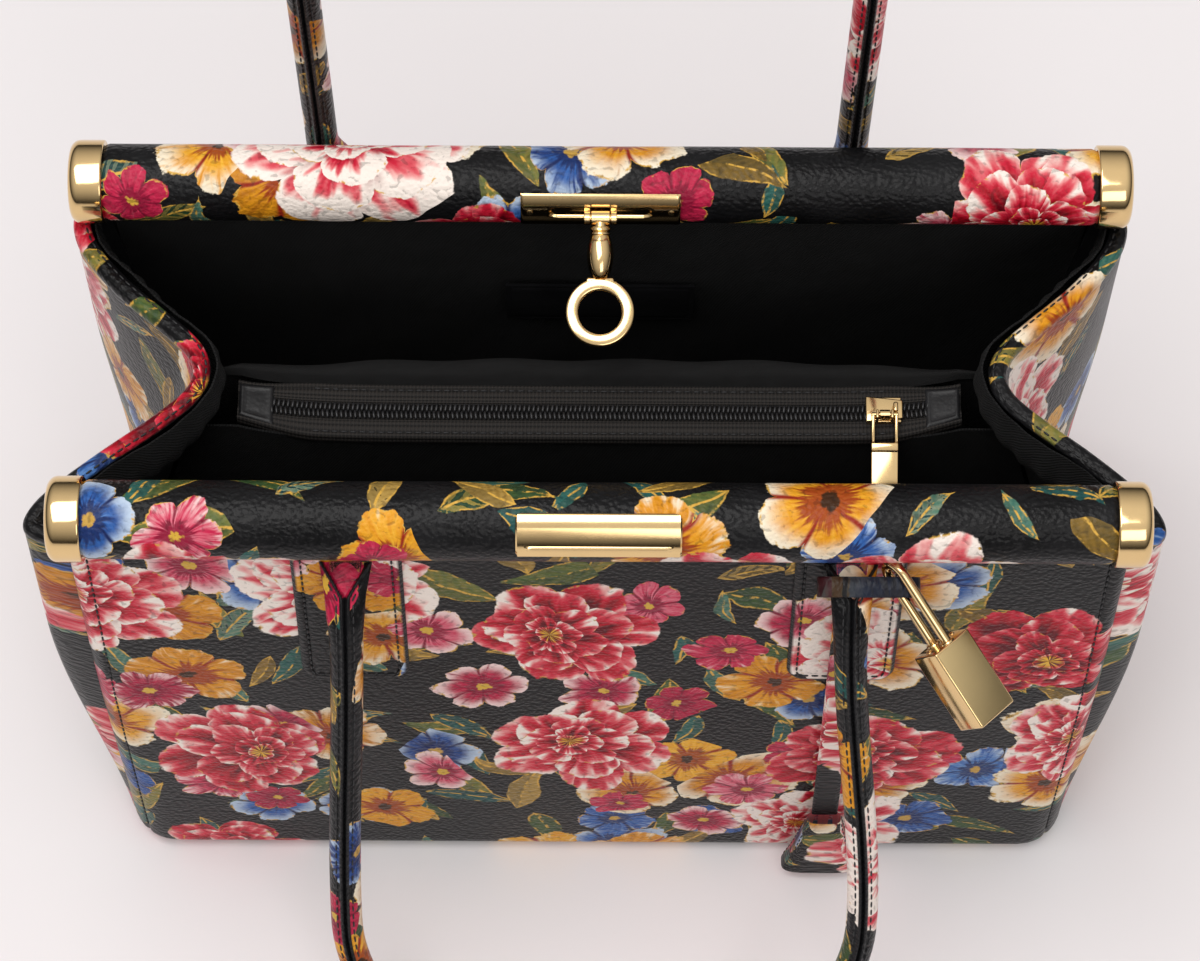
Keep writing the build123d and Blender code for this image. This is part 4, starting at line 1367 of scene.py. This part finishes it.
for side, place in SIDES:

    def band_point(x, step):
        depth, rise = BAND_SECTION[step]
        narrowed = 1 - 0.42 * ease(ZIP_HALF - 26, ZIP_HALF, abs(x))
        return zip_point(x, side * (BAND_INNER + (depth - BAND_INNER) * narrowed), ZIP_Z + rise)

    def tape_point(x, y):
        return zip_point(x, side * 0.68 * (8.7 - y), ZIP_Z - 0.5)

    band = grid_piece("band", [side * x for x in zip_across], rows_of(BAND_SECTION), band_point)
    tape = grid_piece("tape", [-side * x for x in zip_across], span(0.1, 8.6, 6), tape_point)
    for piece, wall_thick, angle in ((band, 0.4, 50), (tape, 0.3, 40)):
        dress(piece, tape_weave)
        thicken(piece, wall_thick)
        smooth(piece, angle)
    fit(join(place + "_zip_band", [tape, band]), "root", "zip_tape", place + "_zip_tape")

    # Two rows of stitches along the band
    stitches = []
    for depth in (4.0, 7.6):
        line = [zip_point(x, side * depth, ZIP_Z + 0.6) for x in sewn_across]
        stitches.append(sew(line, [Z] * len(line), 3.0, 2.1, 0.55, 0.5))
    fit(join(place + "_zip_stitches", stitches), "root", "zip_tape")

    # Coil: a row of slanted nylon teeth
    xs = np.arange(-CHAIN_HALF, CHAIN_HALF, TOOTH_PITCH) + (0 if side < 0 else TOOTH_PITCH / 2)
    spots = [zip_point(x, side * 1.35, ZIP_Z + 0.75) for x in xs]
    slant = [(0.12, side, 0)] * len(xs)
    teeth = beads(place + "_zip_coil_teeth", spots, slant, [Z] * len(xs), 3.0, 1.05, 1.5)
    dress(teeth, coil_nylon)
    fit(teeth, "root", "zip_coil", place + "_zip_coil")

# Small leather tabs over the ends of the zip
END_HALF, END_DEEP = 5.6, 6.4
end_steps = both_ends([1, 0.97, 0.9, 0.8, 0.74, 0.7, 0.5], [0])

for hand, where in HANDS:

    def zip_end_point(u, v):
        edge = min(END_HALF * (1 - abs(u)), END_DEEP * (1 - abs(v)))
        rise = 1.1 - 0.8 * max(1 - edge / 1.2, 0) ** 2 - 0.3 * dent(edge - 2.1, 0.45)
        x = hand * (ZIP_HALF - 6.0) + END_HALF * u
        return zip_point(x, END_DEEP * (1 - 0.12 * hand * u) * v, ZIP_Z + 0.4 + rise)

    tab = grid_piece(where + "_zip_tab_leather", end_steps, end_steps, zip_end_point)
    dress(tab, patch_leather)
    thicken(tab, 1.0)
    smooth(tab, 50)
    fit(tab, "root", "printed_leather", where + "_zip_tab")

# Slider and pull, moved with the zip's bow
SLIDER = np.array((92, -2.75, -1.8))
UPRIGHT_AXES = (X, Y, Z)
slider_parts = [block(SLIDER + Z * 193.6, UPRIGHT_AXES, (12, 9.2, 1.1), 0.5, 3, 0.72)]
for end in (-1, 1):
    slider_parts.append(block(SLIDER + (0, end * 3.95, 192.4), UPRIGHT_AXES, (11, 0.95, 2.2), 0.3))
    slider_parts.append(block(SLIDER + (end * 2.4, -3, 195.0), UPRIGHT_AXES, (1.0, 3.0, 4.0), 0.4))
slider_parts.append(block(SLIDER + (3.6, 0, 195.0), UPRIGHT_AXES, (1.6, 3.4, 2.6), 0.6))
slider_parts.append(lathe(SLIDER + (-2.9, -3, 196), X, [(0, 0), (0, 0.8), (5.8, 0.8), (5.8, 0)], 20))
gilt("zip_slider_gold", slider_parts, "zip_slider", "zip_slider")

dip = math.radians(26)
down = np.array((0, -math.cos(dip), -math.sin(dip)))
pull_axes = (down, X, np.array((0, -math.sin(dip), math.cos(dip))))
pull_root = SLIDER + (0, -3, 196.0)
pull_parts = [
    lathe(pull_root - 1.7 * X, X, barrel(3.4, 1.6, 0.15, 0.85), 28),
    lathe(pull_root - 4.3 * X, X, barrel(8.6, 0.75, 0.15), 20),
    block(pull_root + down * 4.6 - X * 3.75, pull_axes, (10.4, 1.2, 1.4), 0.4),
    block(pull_root + down * 4.6 + X * 3.75, pull_axes, (10.4, 1.2, 1.4), 0.4),
    block(pull_root + down * 24, pull_axes, (30, 8.8, 1.25), 0.45, 4),
    block(pull_root + down * 10.6, pull_axes, (3.2, 9.0, 1.9), 0.6, 4),
]
gilt("zip_pull_gold", pull_parts, "zip_pull", "zip_pull")

# Lock loop: a flat leather loop round the tongue of the front right tab
LOOP_START, LOOP_WIDTH = 5.8, 6.5
LOOP_HALF, LOOP_R, LOOP_MIDDLE = 11.75, 3.75, 5.25
LOOP_SECTION = [
    (0.0, -0.45), (0.0, 0.45), (0.35, 0.66), (3.25, 0.7), (6.15, 0.66), (LOOP_WIDTH, 0.45),
    (LOOP_WIDTH, -0.45), (6.15, -0.66), (3.25, -0.7), (0.35, -0.66), (0.0, -0.45),
]
lug_origin = np.array((SPREAD, -64, 211.5))
lug_dir = unit((0, -15.5, -6.5))
lug_top = np.array((0, lug_dir[2], -lug_dir[1]))
loop_centre = lug_origin + lug_dir * (LOOP_START + LOOP_WIDTH / 2)


def loop_ring(turn):
    """Offset and outward direction round the loop, a long slot whose second half is its first half turned."""
    straight = 2 * LOOP_HALF
    half = straight + math.pi * LOOP_R
    flip = -1 if turn >= 0.5 else 1
    run = turn % 0.5 * 2 * half
    if run <= straight:
        out = np.array((0, 1))
        middle = run - LOOP_HALF
    else:
        angle = math.pi / 2 - (run - straight) / LOOP_R
        out = np.array((math.cos(angle), math.sin(angle)))
        middle = LOOP_HALF
    return flip * (out * LOOP_R + (middle, 0)), flip * out


def loop_point(turn, step):
    offset, out = loop_ring(turn % 1.0)
    along, high = LOOP_SECTION[step]
    across, up = offset + out * high
    return lug_origin + lug_dir * (LOOP_START + along) + X * (LOOP_MIDDLE + across) + lug_top * up


loop = grid_piece(
    "lock_loop_leather", span(0, 1, 84), rows_of(LOOP_SECTION), loop_point, HIDE["lock_loop"], True,
    paint=lambda turn, step: 0.94, cut=lambda turn, step: (turn * 75, step * 1.4),
)
dress(loop, printed)
smooth(loop, 50)
fit(loop, "root", "printed_leather", "lock_loop")

# Padlock: its shackle goes through the loop and it hangs to the right, dipped and rolled a little
LEG = 4.1
SHACKLE_R = 1.58
CASE_START, CASE_LENGTH = 25.8, 28
turn_angle, dip_angle, roll_angle = math.radians(34), math.radians(11), math.radians(25)
lock_ahead = lug_dir * math.cos(turn_angle) + X * math.sin(turn_angle)
lock_dir = lock_ahead * math.cos(dip_angle) - lug_top * math.sin(dip_angle)
lock_level = X * math.cos(turn_angle) - lug_dir * math.sin(turn_angle)
lock_up = np.cross(lock_dir, lock_level)
lock_across = lock_level * math.cos(roll_angle) - lock_up * math.sin(roll_angle)
lock_front = lock_level * math.sin(roll_angle) + lock_up * math.cos(roll_angle)
lock_axes = (lock_dir, lock_across, lock_front)
bend = loop_centre + X * 16 + lug_top * LOOP_R - lock_dir * 4.5
leg_run = np.linspace(CASE_START + 8.8, 0.4, 10)
shackle_path = [bend - lock_front * LEG + lock_dir * d for d in leg_run]
shackle_path += [
    bend - lock_front * LEG * math.cos(a) - lock_dir * LEG * math.sin(a) for a in np.linspace(0, math.pi, 25)
]
shackle_path += [bend + lock_front * LEG + lock_dir * d for d in leg_run[::-1]]
shackle = rod(shackle_path, SHACKLE_R, lock_across, 24)
gilt("padlock_shackle_gold", [shackle], "padlock_shackle", "padlock_shackle", 50)

COLLAR = [(-0.1, 1.66), (0.35, 1.68), (0.5, 1.9), (0.45, 2.3), (0.0, 2.5), (-0.1, 2.5)]
CASE_RIVET = [(-0.1, 1.0), (0.25, 0.95), (0.5, 0.6), (0.55, 0)]
case_middle = bend + lock_dir * (CASE_START + CASE_LENGTH / 2)
case_top = bend + lock_dir * (CASE_START + 0.05)
case_parts = [block(case_middle, lock_axes, (CASE_LENGTH, 15, 13), 0.7, 4)]
for sign in (-1, 1):
    face_plate = block(case_middle + lock_front * sign * 6.45, lock_axes, (26.6, 13.6, 0.5), 0.18, 2)
    case_parts.append(dress(face_plate, gold_brushed))
for sign in (-1, 1):
    case_parts.append(lathe(case_top + lock_front * sign * LEG, -lock_dir, COLLAR, 28))
    case_parts.append(lathe(case_top + lock_across * sign * 5.2, -lock_dir, CASE_RIVET, 20))
gilt("padlock_case_gold", case_parts, "padlock_case", "padlock_case")

# Fob: a strap that hangs from the loop behind the handle's leg, and the folded leather bell at its end
strap_top = loop_centre - lug_top * 4.6
strap_low = np.array((SPREAD, -87.95, 46.2))
BELL_TOP, BELL_LENGTH, BELL_BACK = 46, 40, -87.3


def strap_point(turn, step):
    angle = 2 * math.pi * turn
    lateral, high = 4.5 * squared(math.cos(angle), 0.3), 0.75 * squared(math.sin(angle), 0.5)
    centre = strap_top + (strap_low - strap_top) * step
    return centre + X * lateral - Y * (high + 1.2 * math.sin(math.pi * step))


def bell_point(turn, step):
    angle = 2 * math.pi * turn
    wide = (5.6 + 7.8 * step**0.9) * (1 - 0.08 * math.sin(math.pi * step))
    deep = 2.4 + 2.0 * step**0.8
    x = SPREAD + wide * squared(math.cos(angle), 0.5)
    y = BELL_BACK - deep - deep * squared(math.sin(angle), 0.55)
    return (x, y, BELL_TOP - BELL_LENGTH * step)


strap = grid_piece(
    "fob_strap_leather", span(0, 1, 28), span(0, 1, 60), strap_point, HIDE["fob_strap"], True,
    cut=lambda turn, step: (turn * 21, step * 158),
)
bell = grid_piece(
    "fob_bell_leather", span(0, 1, 48), span(0, 1, 24), bell_point, HIDE["fob_bell"], True,
    paint=lambda turn, step: float(min(abs(turn - 0.5), turn, 1 - turn) < 0.018),
    cut=lambda turn, step: (turn * 60, step * 46),
)
for piece, angle, node in ((strap, 60, "fob_strap"), (bell, 50, "fob_bell")):
    fill_holes(piece)
    dress(piece, printed)
    smooth(piece, angle)
    fit(piece, "root", "printed_leather", node)

rows = []
for turn in (0.06, 0.44, 0.56, 0.94):
    line = [bell_point(turn, step) for step in np.linspace(0.04, 0.97, 20)]
    rows.append(sew(line, [-Y if turn < 0.5 else Y] * len(line), 3.0, 2.2, 0.6, 0.5))
fit(join("fob_bell_stitches", rows), "root", "printed_leather")

# Floor, light and camera
deselect()
bpy.ops.mesh.primitive_plane_add(size=8, location=(0, 0, -0.0004))
floor = bpy.context.object
floor.name = "studio_floor"
net = Net("studio_floor_paper")
paper = net.noise(net.own(), 3.0)
net.out("Base Color", net.ramp(paper, ((0.3, (0.775, 0.752, 0.765)), (0.7, (0.795, 0.772, 0.785)))))
net.set(roughness=0.85)
dress(floor, net.material)

world = bpy.data.worlds.new("studio_world")
bpy.context.scene.world = world
world.use_nodes = True
sky = world.node_tree.nodes
links = world.node_tree.links
height = sky.new("ShaderNodeSeparateXYZ")
links.new(sky.new("ShaderNodeTexCoord").outputs["Generated"], height.inputs[0])
shade = sky.new("ShaderNodeValToRGB")
low_sky, high_sky = shade.color_ramp.elements
low_sky.position = 0.05
low_sky.color = (0.05, 0.048, 0.047, 1)
high_sky.position = 0.95
high_sky.color = (1.0, 0.98, 0.97, 1)
links.new(height.outputs[2], shade.inputs[0])
links.new(shade.outputs[0], sky["Background"].inputs[0])
sky["Background"].inputs[1].default_value = 0.95


def soft_light(name, spot, aim, size, power, colour):
    lamp = bpy.data.lights.new(name, "AREA")
    lamp.shape = "RECTANGLE"
    lamp.size, lamp.size_y = size
    lamp.energy = power
    lamp.color = colour
    holder = bpy.data.objects.new(name, lamp)
    bpy.context.scene.collection.objects.link(holder)
    holder.location = spot
    holder.rotation_euler = (Vector(aim) - Vector(spot)).to_track_quat("-Z", "Y").to_euler()


soft_light("overhead_box", (-0.35, -0.15, 1.9), (0, 0, 0.1), (1.5, 1.1), 20, (1.0, 0.98, 0.96))
soft_light("front_box", (0.5, -1.7, 1.5), (0, 0, 0.15), (1.0, 1.0), 8, (1.0, 0.97, 0.95))

# The camera as fitted to the photo, which is 1200 pixels wide
PHOTO_WIDTH, FOCAL_PIXELS, SENSOR = 1200, 3923, 36
camera = bpy.data.objects.new("photo_camera", bpy.data.cameras.new("photo_camera"))
bpy.context.scene.collection.objects.link(camera)
elevation, distance, target = math.radians(65.3), 1.334, Vector((0, 0, 0.120))
camera.location = target + distance * Vector((0, -math.cos(elevation), math.sin(elevation)))
camera.rotation_euler = (math.pi / 2 - elevation, 0, 0)
camera.rotation_euler.rotate_axis("Z", math.radians(0.31))
camera.data.sensor_width = SENSOR
camera.data.lens = SENSOR * FOCAL_PIXELS / PHOTO_WIDTH
camera.data.shift_x = 1 / PHOTO_WIDTH
camera.data.shift_y = 12.5 / PHOTO_WIDTH
bpy.context.scene.camera = camera
bpy.context.scene.view_settings.view_transform = "Standard"
